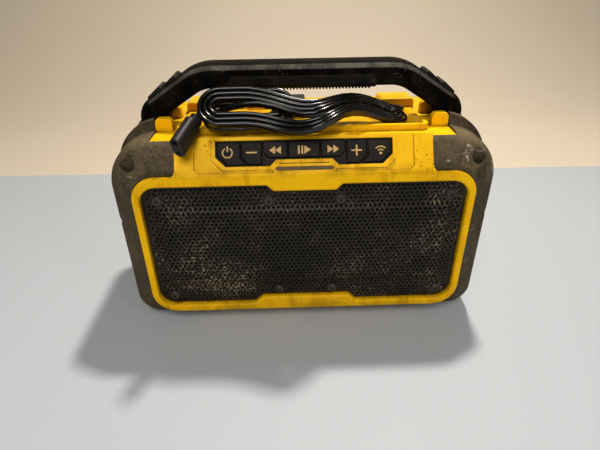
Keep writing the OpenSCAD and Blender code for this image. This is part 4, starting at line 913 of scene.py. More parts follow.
class Tree:
    """A Geometry Nodes tree with named inputs, run once on a mesh."""

    def __init__(self, name: str) -> None:
        """Starts a tree with a geometry input and output."""
        self.group = bpy.data.node_groups.new(name, "GeometryNodeTree")
        self.group.interface.new_socket("Geometry", in_out="OUTPUT", socket_type="NodeSocketGeometry")
        self.group.interface.new_socket("Geometry", in_out="INPUT", socket_type="NodeSocketGeometry")
        self.values: dict[str, object] = {}
        self.entry = self.group.nodes.new("NodeGroupInput")

    def size(self, name: str, value: object, kind: str = "NodeSocketFloat") -> bpy.types.NodeSocket:
        """Adds a named input and keeps the value that it gets.

        Args:
            name: Name of the input.
            value: Its value.
            kind: Its socket type.

        Returns:
            The input's socket inside the tree.
        """
        item = self.group.interface.new_socket(name, in_out="INPUT", socket_type=kind)
        self.values[item.identifier] = value
        return self.entry.outputs[name]

    def node(self, kind: str, settings: dict, inputs: dict, output: int | str = 0) -> bpy.types.NodeSocket:
        """Makes a node and returns one output.

        Args:
            kind: The node's type.
            settings: Properties that are set first.
            inputs: Values or sockets by the input's name or number.
            output: The output that is wanted.

        Returns:
            The output's socket.
        """
        made = self.group.nodes.new(kind)
        for key, value in settings.items():
            setattr(made, key, value)
        for key, value in inputs.items():
            links = value if isinstance(value, list) else [value]
            for link in links:
                if isinstance(link, bpy.types.NodeSocket):
                    self.group.links.new(link, made.inputs[key])
                else:
                    made.inputs[key].default_value = link
        return made.outputs[output]

    def maths(self, operation: str, a: object, b: object = 0.0) -> bpy.types.NodeSocket:
        """A Math node."""
        return self.node("ShaderNodeMath", {"operation": operation}, {0: a, 1: b})

    def run(self, start: bpy.types.Mesh, end: bpy.types.NodeSocket) -> bpy.types.Mesh:
        """Runs the tree and returns a plain mesh.

        Args:
            start: The mesh that enters.
            end: The socket that leaves.

        Returns:
            The resulting mesh.
        """
        leave = self.group.nodes.new("NodeGroupOutput")
        self.group.links.new(end, leave.inputs[0])
        holder = bpy.data.objects.new("work", start)
        bpy.context.scene.collection.objects.link(holder)
        modifier = holder.modifiers.new("rule", "NODES")
        modifier.node_group = self.group
        for key, value in self.values.items():
            modifier[key] = value
        return Pieces.baked(holder)


@dataclass(frozen=True)
class Lamp:
    """A square soft lamp that looks at the speaker, in metres and watts."""

    name: str
    place: Point
    size: float
    power: float
    colour: str
    aim: Point = (0.0, 0.0, 0.05)

    def build(self) -> None:
        """Hangs the lamp."""
        data = bpy.data.lights.new(self.name, "AREA")
        data.size = self.size
        data.energy = self.power
        data.color = linear(self.colour)[:3]
        lamp = bpy.data.objects.new(self.name, data)
        lamp.location = self.place
        lamp.rotation_euler = (Vector(self.aim) - Vector(self.place)).to_track_quat("-Z", "Y").to_euler()
        bpy.context.scene.collection.objects.link(lamp)


@dataclass
class Studio:
    """Camera, lamps and pale floor, in metres.

    Attributes:
        half: Half of the width of floor and backdrop, and the floor's reach to the front.
        floor_rear: Where the floor's rear edge lies at its left and right end.
        floor_thick: Its thickness.
        drop: How far the backdrop lies below the floor.
        level: Where the backdrop's level stretch begins and ends.
        bend: Radius of its curve, and wall its height.
    """

    eye: Point = (-0.0095, -0.3262, 0.2461)
    yaw: float = math.radians(1.26)
    pitch: float = math.radians(30.6)
    roll: float = math.radians(-0.87)
    lens: float = 27.0
    sensor: float = 36.0
    nearest: float = 0.01
    half: float = 3.0
    floor_rear: Flat = (0.288, 0.177)
    floor_thick: float = 0.02
    drop: float = 0.004
    level: Flat = (0.10, 0.50)
    bend: float = 0.60
    wall: float = 2.6
    floor_colour: str = "#b6bbc0"
    wall_colour: str = "#d6c9b3"
    sky_colour: str = "#f3efe8"
    sky_power: float = 0.11
    lamps: Sequence[Lamp] = (
        Lamp("rear_high", (0.17, 0.30, 1.05), 0.08, 11.5, "#fff8f0"),
        Lamp("front_high", (-0.08, -0.90, 0.95), 0.60, 9.3, "#fffaf4"),
        Lamp("right", (1.10, -1.05, 1.15), 0.12, 2.0, "#fff8f0"),
    )

    def camera(self) -> None:
        """Puts the camera where the photograph was taken from."""
        level = math.cos(self.pitch)
        ahead = Vector((math.sin(self.yaw) * level, math.cos(self.yaw) * level, -math.sin(self.pitch)))
        right = Vector((math.cos(self.yaw), -math.sin(self.yaw), 0.0))
        up = right.cross(ahead)
        c, s = math.cos(self.roll), math.sin(self.roll)
        data = bpy.data.cameras.new("camera")
        data.lens = self.lens
        data.sensor_width = self.sensor
        data.clip_start = self.nearest
        seen = bpy.data.objects.new("camera", data)
        axes = Matrix((right * c + up * s, up * c - right * s, -ahead)).transposed()
        seen.matrix_world = Matrix.Translation(self.eye) @ axes.to_4x4()
        bpy.context.scene.collection.objects.link(seen)
        bpy.context.scene.camera = seen

    def _cove(self) -> bpy.types.Mesh:
        """Backdrop that lies level behind the floor and curves up into a wall."""
        profile = [(y, -self.drop) for y in self.level]
        for k in range(11):
            a = math.radians(9 * k)
            rise = self.bend * (1 - math.cos(a))
            profile.append((self.level[1] + self.bend * math.sin(a), rise - self.drop))
        profile.append((self.level[1] + self.bend, self.wall))
        bm = bmesh.new()
        rows = [[bm.verts.new((x, y, z)) for x in (-self.half, self.half)] for y, z in profile]
        for a, b in zip(rows, rows[1:]):
            bm.faces.new((a[0], a[1], b[1], b[0])).smooth = True
        return Pieces.from_bmesh(bm)

    def _floor(self) -> bpy.types.Mesh:
        """Floor whose rear edge runs a little askew."""
        w = self.half
        left, right = self.floor_rear
        edge = [Vector((x, y, 0.0)) for x, y in ((-w, -w), (w, -w), (w, right), (-w, left))]
        return Pieces.from_bmesh(Pieces.outline(edge, Vector((0, 0, -self.floor_thick))))

    def room(self) -> None:
        """Adds the floor, the backdrop behind it and the light."""
        bpy.context.scene.view_settings.view_transform = "Standard"
        for name, mesh, colour in (
            ("floor", self._floor(), self.floor_colour), ("backdrop", self._cove(), self.wall_colour),
        ):
            book = Book("stage_" + name)
            tone = book.noise(3, 3).step(0.3, 0.7)
            shade = [c * 0.95 for c in linear(colour)[:3]] + [1.0]
            mesh.materials.append(book.finish(book.mix(tone * 0.4, linear(colour), shade), 0.6))
            stage = bpy.data.objects.new(name, mesh)
            bpy.context.scene.collection.objects.link(stage)
        world = bpy.data.worlds.new("room")
        world.use_nodes = True
        background = world.node_tree.nodes["Background"]
        background.inputs["Color"].default_value = linear(self.sky_colour)
        background.inputs["Strength"].default_value = self.sky_power
        bpy.context.scene.world = world
        for lamp in self.lamps:
            lamp.build()


@dataclass
class Lead:
    """Flat twin mains lead: wound loops, a tail to its connector and a tail to its plug.

    Sizes are in millimetres. The first loops are short, and the others, on a second layer, are long.

    Attributes:
        waist: How far the web between the cores is drawn in, and over which part of the width.
        spread: How soon the outline leaves the web for the cores.
        loop_step: Distance from one loop to the next inside it.
        fold_l: Where short and long loops turn at the left, and fold_r at the right.
        rear: Distance of the rear run of short and long loops from the middle, and front of the front run.
        lift: Where the short loops begin to rise, and by how much.
        sag_at: Start, lowest place and end of the long loops' sag.
        sag: How far the rear and the front run sag.
        plane: Middle (y, z) and tilt of the loops' plane at the left.
        slide: Where y begins and stops changing towards the right, and by how much; so sink for z and
            flat for the tilt.
        layer_speed: One over the part of a loop in which the lead climbs to the second layer.
        length_speed: One over the part of a loop in which the loops become long.
        hop: Extra inset where the layer changes, and its place and length in loops.
        straight: Straight stretch at either end and beside the loops, and hidden what lies inside an end.
        shade_ring: Inner and outer radius of the painted shade rings round the connector's holes, and
            shade_ring_z their depth.
    """

    width: float = 5.2
    thick: float = 2.9
    waist: Flat = (0.20, 0.35)
    spread: float = 2.2
    loops: float = 6.25
    loop_step: float = 3.5
    wound_points: int = 420
    fold_l: Flat = (-53.5, -53.0)
    fold_r: Flat = (-18.0, 60.0)
    rear: Flat = (13.5, 14.5)
    front: Flat = (14.5, 13.5)
    lift: Flat = (-42.0, 3.5)
    sag_at: Point = (-38.0, 8.0, 56.0)
    sag: Flat = (12.0, 10.5)
    plane: Point = (-40.6, 163.2, 42.0)
    slide: Point = (5.0, 48.0, 18.0)
    sink: Point = (20.0, 76.0, -16.2)
    flat: Point = (-18.0, 30.0, -34.0)
    layer_speed: float = 14.0
    length_speed: float = 8.0
    hop: Point = (0.6, 0.05, 0.06)
    layer_gap: float = 0.7
    straight: float = 3.5
    hidden: float = 2.0
    connector_at: Point = (-68.5, -40.0, 158.7)
    connector_l: float = 29.0
    connector_round: float = 0.7
    plug_round: float = 1.2
    socket_pitch: float = 8.6
    shade_ring: Flat = (1.5, 2.0)
    shade_ring_z: Flat = (-0.05, 0.06)
    connector_way: Point = (-0.32, -0.87, -0.38)
    tail: Sequence[Point] = ((-66.5, -31, 161.8), (-65, -27, 164.5), (-61, -25.2, 168.3))
    to_plug: Sequence[Point] = (
        (71.5, -4.5, 150.6), (74.5, 2, 149), (70, 7.5, 149), (60, 9.5, 149), (50, 12, 149), (38, 13, 149.5),
        (26, 14, 150.5)
    )
    plug_at: Point = (12.0, 14.0, 151.0)

    def _run(self, x: float, share: float, side: int) -> float:
        """Place across the loops' plane of the rear run (1) or the front run (-1) at x."""
        out, sag = (self.rear, self.sag[0]) if side > 0 else (self.front, self.sag[1])
        lift = self.lift[1] * eased((x - self.lift[0]) / (self.fold_r[0] - self.lift[0]))
        a, b, c = self.sag_at
        dip = sag * eased((x - a) / (b - a)) * eased((c - x) / (c - b))
        return side * (out[0] + (out[1] - out[0]) * share) + lift * (1 - share) - dip * share

    def _fold(self, x: float, share: float, inset: float, turn: float) -> Flat:
        """Place in the fold about x."""
        up, low = self._run(x, share, 1), self._run(x, share, -1)
        r = (up - low) / 2 - inset
        return x + r * math.cos(math.radians(turn)), (up + low) / 2 + r * math.sin(math.radians(turn))

    def _loop(self, part: float, inset: float, share: float) -> Flat:
        """Place along and across the loops' plane at a part of a loop, short (share 0) or long (1)."""
        q = part * 4
        a, b = (pair[0] + (pair[1] - pair[0]) * share for pair in (self.fold_l, self.fold_r))
        if q < 1:
            x = a + (b - a) * q
            return x, self._run(x, share, 1) - inset
        if q < 2:
            return self._fold(b, share, inset, 90 - 180 * (q - 1))
        if q < 3:
            x = b + (a - b) * (q - 2)
            return x, self._run(x, share, -1) + inset
        return self._fold(a, share, inset, 270 - 180 * (q - 3))

    def _plane(self, x: float) -> tuple[float, float, float]:
        """Middle (y, z) and tilt of the loops' plane at x."""
        y, z, tilt = (
            start + c[2] * eased((x - c[0]) / (c[1] - c[0]))
            for start, c in zip(self.plane, (self.slide, self.sink, self.flat))
        )
        return y, z, math.radians(tilt)

    def wound(self, t: float) -> tuple[Vector, Vector]:
        """Place of the wound lead after t loops, and the way across its width."""
        over = t - math.floor(self.loops / 2)
        inset = self.loop_step * (t if t < self.loops / 2 else self.loops - t)
        height, middle, length = self.hop
        inset += height * math.exp(-((over - middle) / length) ** 2)
        layer = (self.width + self.layer_gap) * (eased(over * self.layer_speed) - 0.5)
        x, across = self._loop(t - math.floor(t), inset, eased(over * self.length_speed))
        y, z, a = self._plane(x)
        up = Vector((0, -math.sin(a), math.cos(a)))
        return Vector((x, y + across * math.cos(a), z + across * math.sin(a))) + up * layer, up

    def route(self) -> tuple[list[Vector], list[Vector]]:
        """The whole route from the connector to the plug.

        Returns:
            Points in metres, and at each the way across the lead's width.
        """
        just_short = self.loops - 0.0001
        wound = [self.wound(t) for t in np.linspace(0, just_short, self.wound_points)]
        first, way_in = wound[0][0], (wound[1][0] - wound[0][0]).normalized()
        last, way_out = wound[-1][0], (wound[-1][0] - wound[-2][0]).normalized()
        way = Vector(self.connector_way).normalized()
        start, stop = Vector(self.connector_at), Vector(self.plug_at)
        head = self._curve([
            start + way * self.hidden, start, start - way * self.straight, *map(Vector, self.tail),
            first - way_in * self.straight, first,
        ])[:-1]
        tail = self._curve([
            last, last + way_out * self.straight, *map(Vector, self.to_plug),
            stop + Vector((self.straight, 0, 0)), stop - Vector((self.hidden, 0, 0)),
        ])[1:]
        upright, level = Vector((0, 0, 1)), Vector((0, 1, 0))
        ups = [upright.lerp(wound[0][1], eased(k / len(head))) for k in range(len(head))]
        ups += [w[1] for w in wound]
        ups += [wound[-1][1].lerp(level, eased((k + 1) / len(tail))) for k in range(len(tail))]
        return [p * MM for p in head + [w[0] for w in wound] + tail], ups

    @staticmethod
    def _curve(points: Sequence[Vector], steps: int = 8) -> list[Vector]:
        """A smooth curve through points, in a number of steps from each to the next."""
        ends = [2 * points[0] - points[1], *points, 2 * points[-1] - points[-2]]
        out = []
        for k in range(1, len(ends) - 2):
            a, b, c, d = ends[k - 1:k + 3]
            for j in range(steps):
                t = j / steps
                out.append(0.5 * (2 * b + (c - a) * t + (2 * a - 5 * b + 4 * c - d) * t * t
                                  + (3 * b - a - 3 * c + d) * t ** 3))
        return out + [points[-1]]

    def section(self, count: int = 20) -> list[Flat]:
        """Outline of the twin lead: two round cores joined by a web."""
        core, pitch = self.thick / 2 * MM, (self.width - self.thick) / 2 * MM
        ring = []
        for k in range(count):
            a = 2 * math.pi * (k + 0.5) / count
            c, s = math.cos(a), math.sin(a)
            drawn_in = 1 - self.waist[0] * math.exp(-(c / self.waist[1]) ** 2)
            middle = math.copysign(pitch * min(1, abs(c) * self.spread), c)
            ring.append((core * s * drawn_in, middle + core * c))
        return ring

    def build(self) -> None:
        points, ups = self.route()
        section = self.section()
        bm = bmesh.new()
        rings = []
        for k, p in enumerate(points):
            ahead = (points[min(k + 1, len(points) - 1)] - points[max(k - 1, 0)]).normalized()
            side = ups[k].cross(ahead).normalized()
            up = ahead.cross(side)
            rings.append([bm.verts.new(p + side * s + up * u) for s, u in section])
        Pieces.skinned(bm, rings)
        piece = Pieces.add(
            "mains_lead", Pieces.from_bmesh(bm), Finish.LEAD,
            stands_for=("lead_hank", "lead_tail", "plug_tail"), slot="lead_cover", smooth=60,
        )
        length = sum((b - a).length for a, b in zip(points, points[1:]))
        rounds = [Rounding(self.connector_round * MM, 3)]
        connector = Pieces.recast(
            "lead_socket", "lead_connector", rounds, Finish.CONNECTOR, "lead_ends", smooth=40,
        )
        # Painted shade: dark rings that widen the dark openings of the connector's holes.
        hole_shade = Pieces.add("socket_mouths", self._hole_shade_rings(), Finish.DEEP, slot="lead_ends")
        rounds = [Rounding(self.plug_round * MM, 3)]
        plug = Pieces.recast("mains_plug", "lead_plug", rounds, Finish.CONNECTOR, "lead_ends", smooth=40)
        self.width * MM
        LOG.info("lead: %.3f m", length)

    def _hole_shade_rings(self) -> bpy.types.Mesh:
        """Dark rings round the two holes in the connector's end: painted shade that widens the holes' dark
        openings.
        """
        way = Vector(self.connector_way).normalized()
        wide = (Vector((0.0, 0.0, 1.0)) - way * way.z).normalized()
        thin = way.cross(wide)
        turns = [math.radians(15 * k) for k in range(24)]
        spokes = [wide * math.cos(a) + thin * math.sin(a) for a in turns]
        (inner, outer), (low, high) = self.shade_ring, self.shade_ring_z
        bm = bmesh.new()
        for s in (-0.5, 0.5):
            mid = Vector(self.connector_at) + way * self.connector_l + wide * (s * self.socket_pitch)
            rings = [
                [bm.verts.new((mid + spoke * r + way * lift) * MM) for spoke in spokes]
                for r, lift in ((inner, low), (inner, high), (outer, high), (outer, low))
            ]
            Pieces.skinned(bm, rings + rings[:1], capped=False)
        return Pieces.from_bmesh(bm)


@dataclass
class Shells:
    """The two yellow shells, with rounded frame, ridge and deck.

    Attributes:
        near_ridge: How far below the ridge a peg's edges may lie, and how far above it a lip's have to.
        peg_x: Least distance of a peg's edges from the middle, and lip_x greatest distance of a lip's.
        touch: Distance in metres below which an edge lies on a face.
    """

    frame_round: float = 1.8 * MM
    peg_round: float = 2.4 * MM
    lip_round: float = 0.9 * MM
    edge_round: float = 0.5 * MM
    near_ridge: float = 0.6 * MM
    peg_x: float = 86 * MM
    lip_x: float = 87 * MM
    touch: float = 1e-5

    def _on_frame(self, a: Vector, b: Vector) -> bool:
        """Is an edge on the outer face of the front or rear frame?"""
        return all(abs(abs(v.y) - abs(BODY.front_y)) < self.touch for v in (a, b))

    def _on_peg(self, a: Vector, b: Vector) -> bool:
        """Is an edge on a peg beside the handle?"""
        return all(v.z > BODY.ridge_z - self.near_ridge and abs(v.x) > self.peg_x for v in (a, b))

    def _on_lip(self, a: Vector, b: Vector) -> bool:
        """Is an edge on the tray's lip or a rear block?"""
        return all(v.z > BODY.ridge_z + self.near_ridge and abs(v.x) < self.lip_x for v in (a, b))

    def build(self) -> None:
        """Rounds the shells and dresses them."""
        rounds = [
            Rounding(self.frame_round, 3, self._on_frame), Rounding(self.peg_round, 4, self._on_peg),
            Rounding(self.lip_round, 3, self._on_lip), Rounding(self.edge_round, 2),
        ]
        for node in ("front_shell", "rear_shell"):
            Pieces.recast(node + "_moulding", node, rounds, Finish.SHELL, "yellow_shell")


@dataclass
class Bumpers:
    """Rubber ends and feet."""

    edge_round: float = 1.2 * MM
    foot_round: float = 0.8 * MM

    def build(self) -> None:
        """Rounds the bumpers and feet and dresses them."""
        rounds = [Rounding(self.edge_round, 3)]
        for node in ("left_bumper", "right_bumper"):
            Pieces.recast(node + "_rubber", node, rounds, Finish.BUMPER, "bumper_rubber")
        Pieces.recast("foot_pads", "feet", [Rounding(self.foot_round, 2)], Finish.FEET, "soft_rubber")


@dataclass
class Handle:
    """Fixed carrying handle with its soft grip and shoulder pads, in millimetres.

    Attributes:
        leg_x: Distance of the legs' middle from the speaker's middle.
        seat_z: Height of their seats.
        slope: Fall of the shoulders in degrees.
        cut: Width of the bevel along the bar's upper edges, and fall its height.
        soft: How far the bevel's edges are eased.
        low_cut: Radius of the lower edges.
    """

    leg_x: float = 103.5
    seat_z: float = 138.0
    thick: float = 15.0
    depth: float = 23.4
    mid_y: float = -10.3
    top: float = 187.3
    grip_w: float = 141.0
    slope: float = 32.6
    shoulder_r: float = 30.0
    elbow_r: float = 9.0
    cut: float = 2.2
    fall: float = 2.9
    soft: float = 0.7
    low_cut: float = 3.0
    low_steps: int = 4
    grip_round: float = 0.25
    pad_round: float = 1.0

    def _bend(self, corner: Flat, a0: float, a1: float, r: float, steps: int = 14) -> list[Point]:
        """Stations (x, z, way) round one bend of the centre line."""
        turn = a1 - a0
        run = r * math.tan(math.radians(abs(turn)) / 2)
        side = 1 if turn > 0 else -1
        sx = corner[0] - run * math.cos(math.radians(a0)) - side * r * math.sin(math.radians(a0))
        sz = corner[1] - run * math.sin(math.radians(a0)) + side * r * math.cos(math.radians(a0))
        out = []
        for k in range(steps + 1):
            a = math.radians(a0 + turn * k / steps)
            out.append((sx + side * r * math.sin(a), sz - side * r * math.cos(a), a))
        return out

    def _path(self) -> list[Point]:
        """Stations of the centre line from the right seat to the left one."""
        bar_z = self.top - self.thick / 2
        shoulder = self.grip_w / 2 - self.thick / 2 * math.tan(math.radians(self.slope) / 2)
        elbow = bar_z - (self.leg_x - shoulder) * math.tan(math.radians(self.slope))
        return [
            (self.leg_x, self.seat_z, math.pi / 2),
            *self._bend((self.leg_x, elbow), 90, 180 - self.slope, self.elbow_r),
            *self._bend((shoulder, bar_z), 180 - self.slope, 180, self.shoulder_r),
            *self._bend((-shoulder, bar_z), 180, 180 + self.slope, self.shoulder_r),
            *self._bend((-self.leg_x, elbow), 180 + self.slope, 270, self.elbow_r),
            (-self.leg_x, self.seat_z, 1.5 * math.pi),
        ]

    def _section(self) -> list[Flat]:
        """Outline of the bar with rounded edges: outwards, and front to rear."""
        h, d, r = self.thick / 2, self.depth / 2, self.low_cut
        cut, fall = self.cut, self.fall
        bevel = self._eased((h, d - cut - self.soft), (h, d - cut), (h - fall * 0.25, d - cut * 0.75))
        bevel += self._eased((h - fall * 0.75, d - cut * 0.25), (h - fall, d), (h - fall - self.soft, d))
        low = []
        for rear, start in ((d, 90), (-d, 180)):
            for k in range(self.low_steps + 1):
                a = math.radians(start + 90 * k / self.low_steps)
                low.append((-h + r + r * math.cos(a), rear - math.copysign(r, rear) + r * math.sin(a)))
        return bevel + low + [(out, -rear) for out, rear in reversed(bevel)]

    @staticmethod
    def _eased(start: Flat, corner: Flat, end: Flat) -> list[Flat]:
        """Three points round a softened corner."""
        mid = tuple(s * 0.25 + c * 0.5 + e * 0.25 for s, c, e in zip(start, corner, end))
        return [start, mid, end]

    def build(self) -> None:
        """Sweeps the bar, rounds the grip and pads, and dresses them."""
        section = self._section()
        bm = bmesh.new()
        rings = []
        for x, z, a in self._path():
            c, s = math.cos(a), math.sin(a)
            ring = [Vector((x + out * s, self.mid_y + rear, z - out * c)) * MM for out, rear in section]
            rings.append([bm.verts.new(corner) for corner in ring])
        Pieces.skinned(bm, rings)
        Pieces.add("handle_bar", Pieces.from_bmesh(bm), Finish.HANDLE, stands_for=["handle_core"],
                   slot="black_plastic", smooth=50)
        rounds = [Rounding(self.grip_round * MM, 2)]
        Pieces.recast("handle_soft_grip", "handle_grip", rounds, Finish.GRIP, "soft_rubber")
        rounds = [Rounding(self.pad_round * MM, 3)]
        for node in ("left_handle_pads", "right_handle_pads"):
            Pieces.recast(node + "_rubber", node, rounds, Finish.PADS, "bumper_rubber")


@dataclass
class Grille:
    """Perforated steel sheet with a pressed field, and its screws.

    Attributes:
        gap: Gap between the sheet and the frame.
        press: Height of the pressed field, and press_run the length of its flanks.
        border_x: Distance of the fully pressed field from the opening's sides, and border_z from its top
            and foot.
        top_tab: Half width of the frame's upper tab and its height, and low_tab of the lower one.
        rim: Plain rim between the holes and the sheet's edge.
        screw_rim: Plain rim between the holes and a screw's head.
        ray: Height from which a place is tested to lie on the sheet.
    """

    pitch: float = 3.3 * MM
    hole_r: float = 1.0 * MM
    sides: int = 10
    bolt_r: float = 1.9 * MM
    bolt_sides: int = 16
    rim: float = 1.5 * MM
    screw_rim: float = 0.2 * MM
    ray: float = 10 * MM
    weld: float = 0.001 * MM
    corner_steps: int = 8
    thick: float = 1.2 * MM
    gap: float = 0.4 * MM
    back_y: float = -54.2 * MM
    press: float = 2.6 * MM
    press_run: float = 5.0 * MM
    border_x: float = 13.0 * MM
    border_z: float = 21.0 * MM
    top_tab: Flat = (20.9 * MM, 4.3 * MM)
    low_tab: Flat = (32.7 * MM, 5.5 * MM)
    head_r: float = 3.5 * MM
    head_h: float = 1.6 * MM
    half_screws: Sequence[Flat] = ((99.4, 107.3), (24.4, 105.8), (99.3, 27.0), (20.0, 30.0))

    @property
    def screws(self) -> list[Flat]:
        """Places (x, z) of the screws in metres, on the left half and then on the right one."""
        return [(s * x * MM, z * MM) for s in (-1, 1) for x, z in self.half_screws]

    @property
    def mid_z(self) -> float:
        """Height of the middle of the sheet."""
        return (BODY.opening_z0 + BODY.opening_z1) / 2

    def _outline(self) -> list[Flat]:
        """Corners of the sheet about its middle, anticlockwise."""
        g = self.gap
        w, h = BODY.opening_half - g, (BODY.opening_z1 - BODY.opening_z0) / 2 - g
        r = BODY.opening_r - g
        points: list[Flat] = []
        for sx, sz, start in ((1, 1, 0), (-1, 1, 90), (-1, -1, 180), (1, -1, 270)):
            for k in range(self.corner_steps + 1):
                a = math.radians(start + 90 * k / self.corner_steps)
                points.append((sx * (w - r) + r * math.cos(a), sz * (h - r) + r * math.sin(a)))
            if start == 0:
                t, d = self.top_tab[0] + g, self.top_tab[1]
                points += [(t + d, h), (t, h - d), (-t, h - d), (-t - d, h)]
            if start == 180:
                t, d = self.low_tab[0] + g, self.low_tab[1]
                points += [(-t - d, -h), (-t, d - h), (t, d - h), (t + d, -h)]
        return points

    def build(self) -> None:
        """Makes the sheet by rule, then the screw heads."""
        sheet = bmesh.new()
        sheet.faces.new([sheet.verts.new((x, z, 0)) for x, z in self._outline()])
        places = bpy.data.meshes.new("grille_screw_places")
        places.from_pydata([(x, z - self.mid_z, 0) for x, z in self.screws], [], [])
        holder = bpy.data.objects.new("work_places", places)
        mesh = self._perforate(Pieces.from_bmesh(sheet), holder)
        bpy.data.objects.remove(holder)
        Pieces.add("grille_sheet", mesh, Finish.GRILLE, stands_for=["grille"], slot="grille_steel",
                   smooth=None)
        seats = [Vector((x, self.back_y - self.thick, z)) for x, z in self.screws]
        heads = Screws(self.head_r, self.head_h, Finish.BLACK_SCREW)
        heads.build("grille_screw_heads", "grille_screws", "black_screw", seats, -1)

    def _perforate(self, sheet: bpy.types.Mesh, screw_places: bpy.types.Object) -> bpy.types.Mesh:
        """Perforates, thickens, presses and places the sheet.

        Args:
            sheet: One flat face in the sheet's outline.
            screw_places: Points where the screws go.

        Returns:
            The finished sheet in the part's frame.
        """
        t = Tree("perforated_sheet")
        rise = self.pitch * math.sin(math.radians(60))
        cols = 2 * math.ceil(BODY.opening_half / self.pitch) + 1
        rows = 2 * math.ceil((BODY.opening_z1 - BODY.opening_z0) / rise / 2) + 1
        pitch = t.size("Pitch", self.pitch)
        hole = t.size("Hole Radius", self.hole_r)
        margin = t.size("Margin", self.hole_r + self.rim)
        clear = t.size("Screw Clearance", self.head_r + self.hole_r + self.screw_rim)
        thick = t.size("Thickness", self.thick)
        press = t.size("Press Height", self.press)
        screws = t.size("Screw Places", screw_places, "NodeSocketObject")
        finish = t.size("Finish", Finish.GRILLE.material(), "NodeSocketMaterial")
        start = t.entry.outputs["Geometry"]
        grid = t.node("GeometryNodeMeshGrid", {}, {
            "Size X": (cols - 1) * self.pitch, "Size Y": (rows - 1) * rise,
            "Vertices X": cols, "Vertices Y": rows})
        index = t.node("GeometryNodeInputIndex", {}, {})
        odd = t.maths("MODULO", t.maths("MODULO", index, float(rows)), 2.0)
        half = t.maths("MULTIPLY", pitch, 0.5)
        shift = t.node("ShaderNodeCombineXYZ", {}, {0: t.maths("MULTIPLY", odd, half)})
        lattice = t.node("GeometryNodeSetPosition", {}, {"Geometry": grid, "Offset": shift})
        place = t.node("GeometryNodeInputPosition", {}, {})
        edge = t.node("GeometryNodeProximity", {"target_element": "EDGES"}, {0: start}, "Distance")
        above = t.node("ShaderNodeVectorMath", {"operation": "ADD"}, {0: place, 1: (0, 0, self.ray)})
        inside = t.node("GeometryNodeRaycast", {}, {
            "Target Geometry": start, "Source Position": above, "Ray Direction": (0, 0, -1),
            "Ray Length": 2 * self.ray})
        points = t.node("GeometryNodeObjectInfo", {}, {"Object": screws}, "Geometry")
        far = t.node("GeometryNodeProximity", {"target_element": "POINTS"}, {0: points}, "Distance")
        kept = t.maths("MULTIPLY", t.maths("GREATER_THAN", edge, margin), t.maths("GREATER_THAN", far, clear))
        kept = t.maths("MULTIPLY", kept, inside)
        dropped = t.maths("LESS_THAN", kept, 0.5)
        lattice = t.node("GeometryNodeDeleteGeometry", {}, {"Geometry": lattice, "Selection": dropped})
        ring = t.node("GeometryNodeCurvePrimitiveCircle", {}, {"Resolution": self.sides, "Radius": hole})
        bolt = t.node("GeometryNodeCurvePrimitiveCircle", {}, {
            "Resolution": self.bolt_sides, "Radius": self.bolt_r})
        holes = t.node("GeometryNodeInstanceOnPoints", {}, {"Points": lattice, "Instance": ring})
        bolts = t.node("GeometryNodeInstanceOnPoints", {}, {"Points": points, "Instance": bolt})
        rim = t.node("GeometryNodeMeshToCurve", {}, {0: start})
        curves = t.node("GeometryNodeRealizeInstances", {}, {
            0: t.node("GeometryNodeJoinGeometry", {}, {0: [rim, holes, bolts]})})
        flat = t.node("GeometryNodeFillCurve", {}, {0: curves})
        raised = t.node("GeometryNodeExtrudeMesh", {}, {
            "Mesh": flat, "Offset": (0, 0, 1), "Offset Scale": thick, "Individual": False})
        back = t.node("GeometryNodeFlipFaces", {}, {0: flat})
        solid = t.node("GeometryNodeMergeByDistance", {}, {
            0: t.node("GeometryNodeJoinGeometry", {}, {0: [raised, back]}), "Distance": self.weld})
        pressed = t.node("GeometryNodeSetPosition", {}, {
            "Geometry": solid, "Offset": self._press(t, place, press)})
        moved = t.node("GeometryNodeTransform", {}, {
            0: pressed, "Translation": (0, self.back_y, self.mid_z),
            "Rotation": t.node("FunctionNodeEulerToRotation", {}, {0: (math.pi / 2, 0, 0)})})
        done = t.node("GeometryNodeSetMaterial", {}, {
            0: t.node("GeometryNodeRealizeInstances", {}, {0: moved}), "Material": finish})
        return t.run(sheet, done)

    def _press(
        self, t: Tree, place: bpy.types.NodeSocket, press: bpy.types.NodeSocket,
    ) -> bpy.types.NodeSocket:
        """Offset that presses the middle field forward with sloping flanks."""
        axes = [t.node("ShaderNodeSeparateXYZ", {}, {0: place}, k) for k in (0, 1)]
        reach = (BODY.opening_half - self.border_x + self.press_run,
                 (BODY.opening_z1 - BODY.opening_z0) / 2 - self.border_z + self.press_run)
        shares = [
            t.maths("DIVIDE", t.maths("SUBTRACT", limit, t.maths("ABSOLUTE", axis)), self.press_run)
            for axis, limit in zip(axes, reach)
        ]
        share = t.node("ShaderNodeClamp", {}, {0: t.maths("MINIMUM", *shares)})
        return t.node("ShaderNodeCombineXYZ", {}, {2: t.maths("MULTIPLY", share, press)})


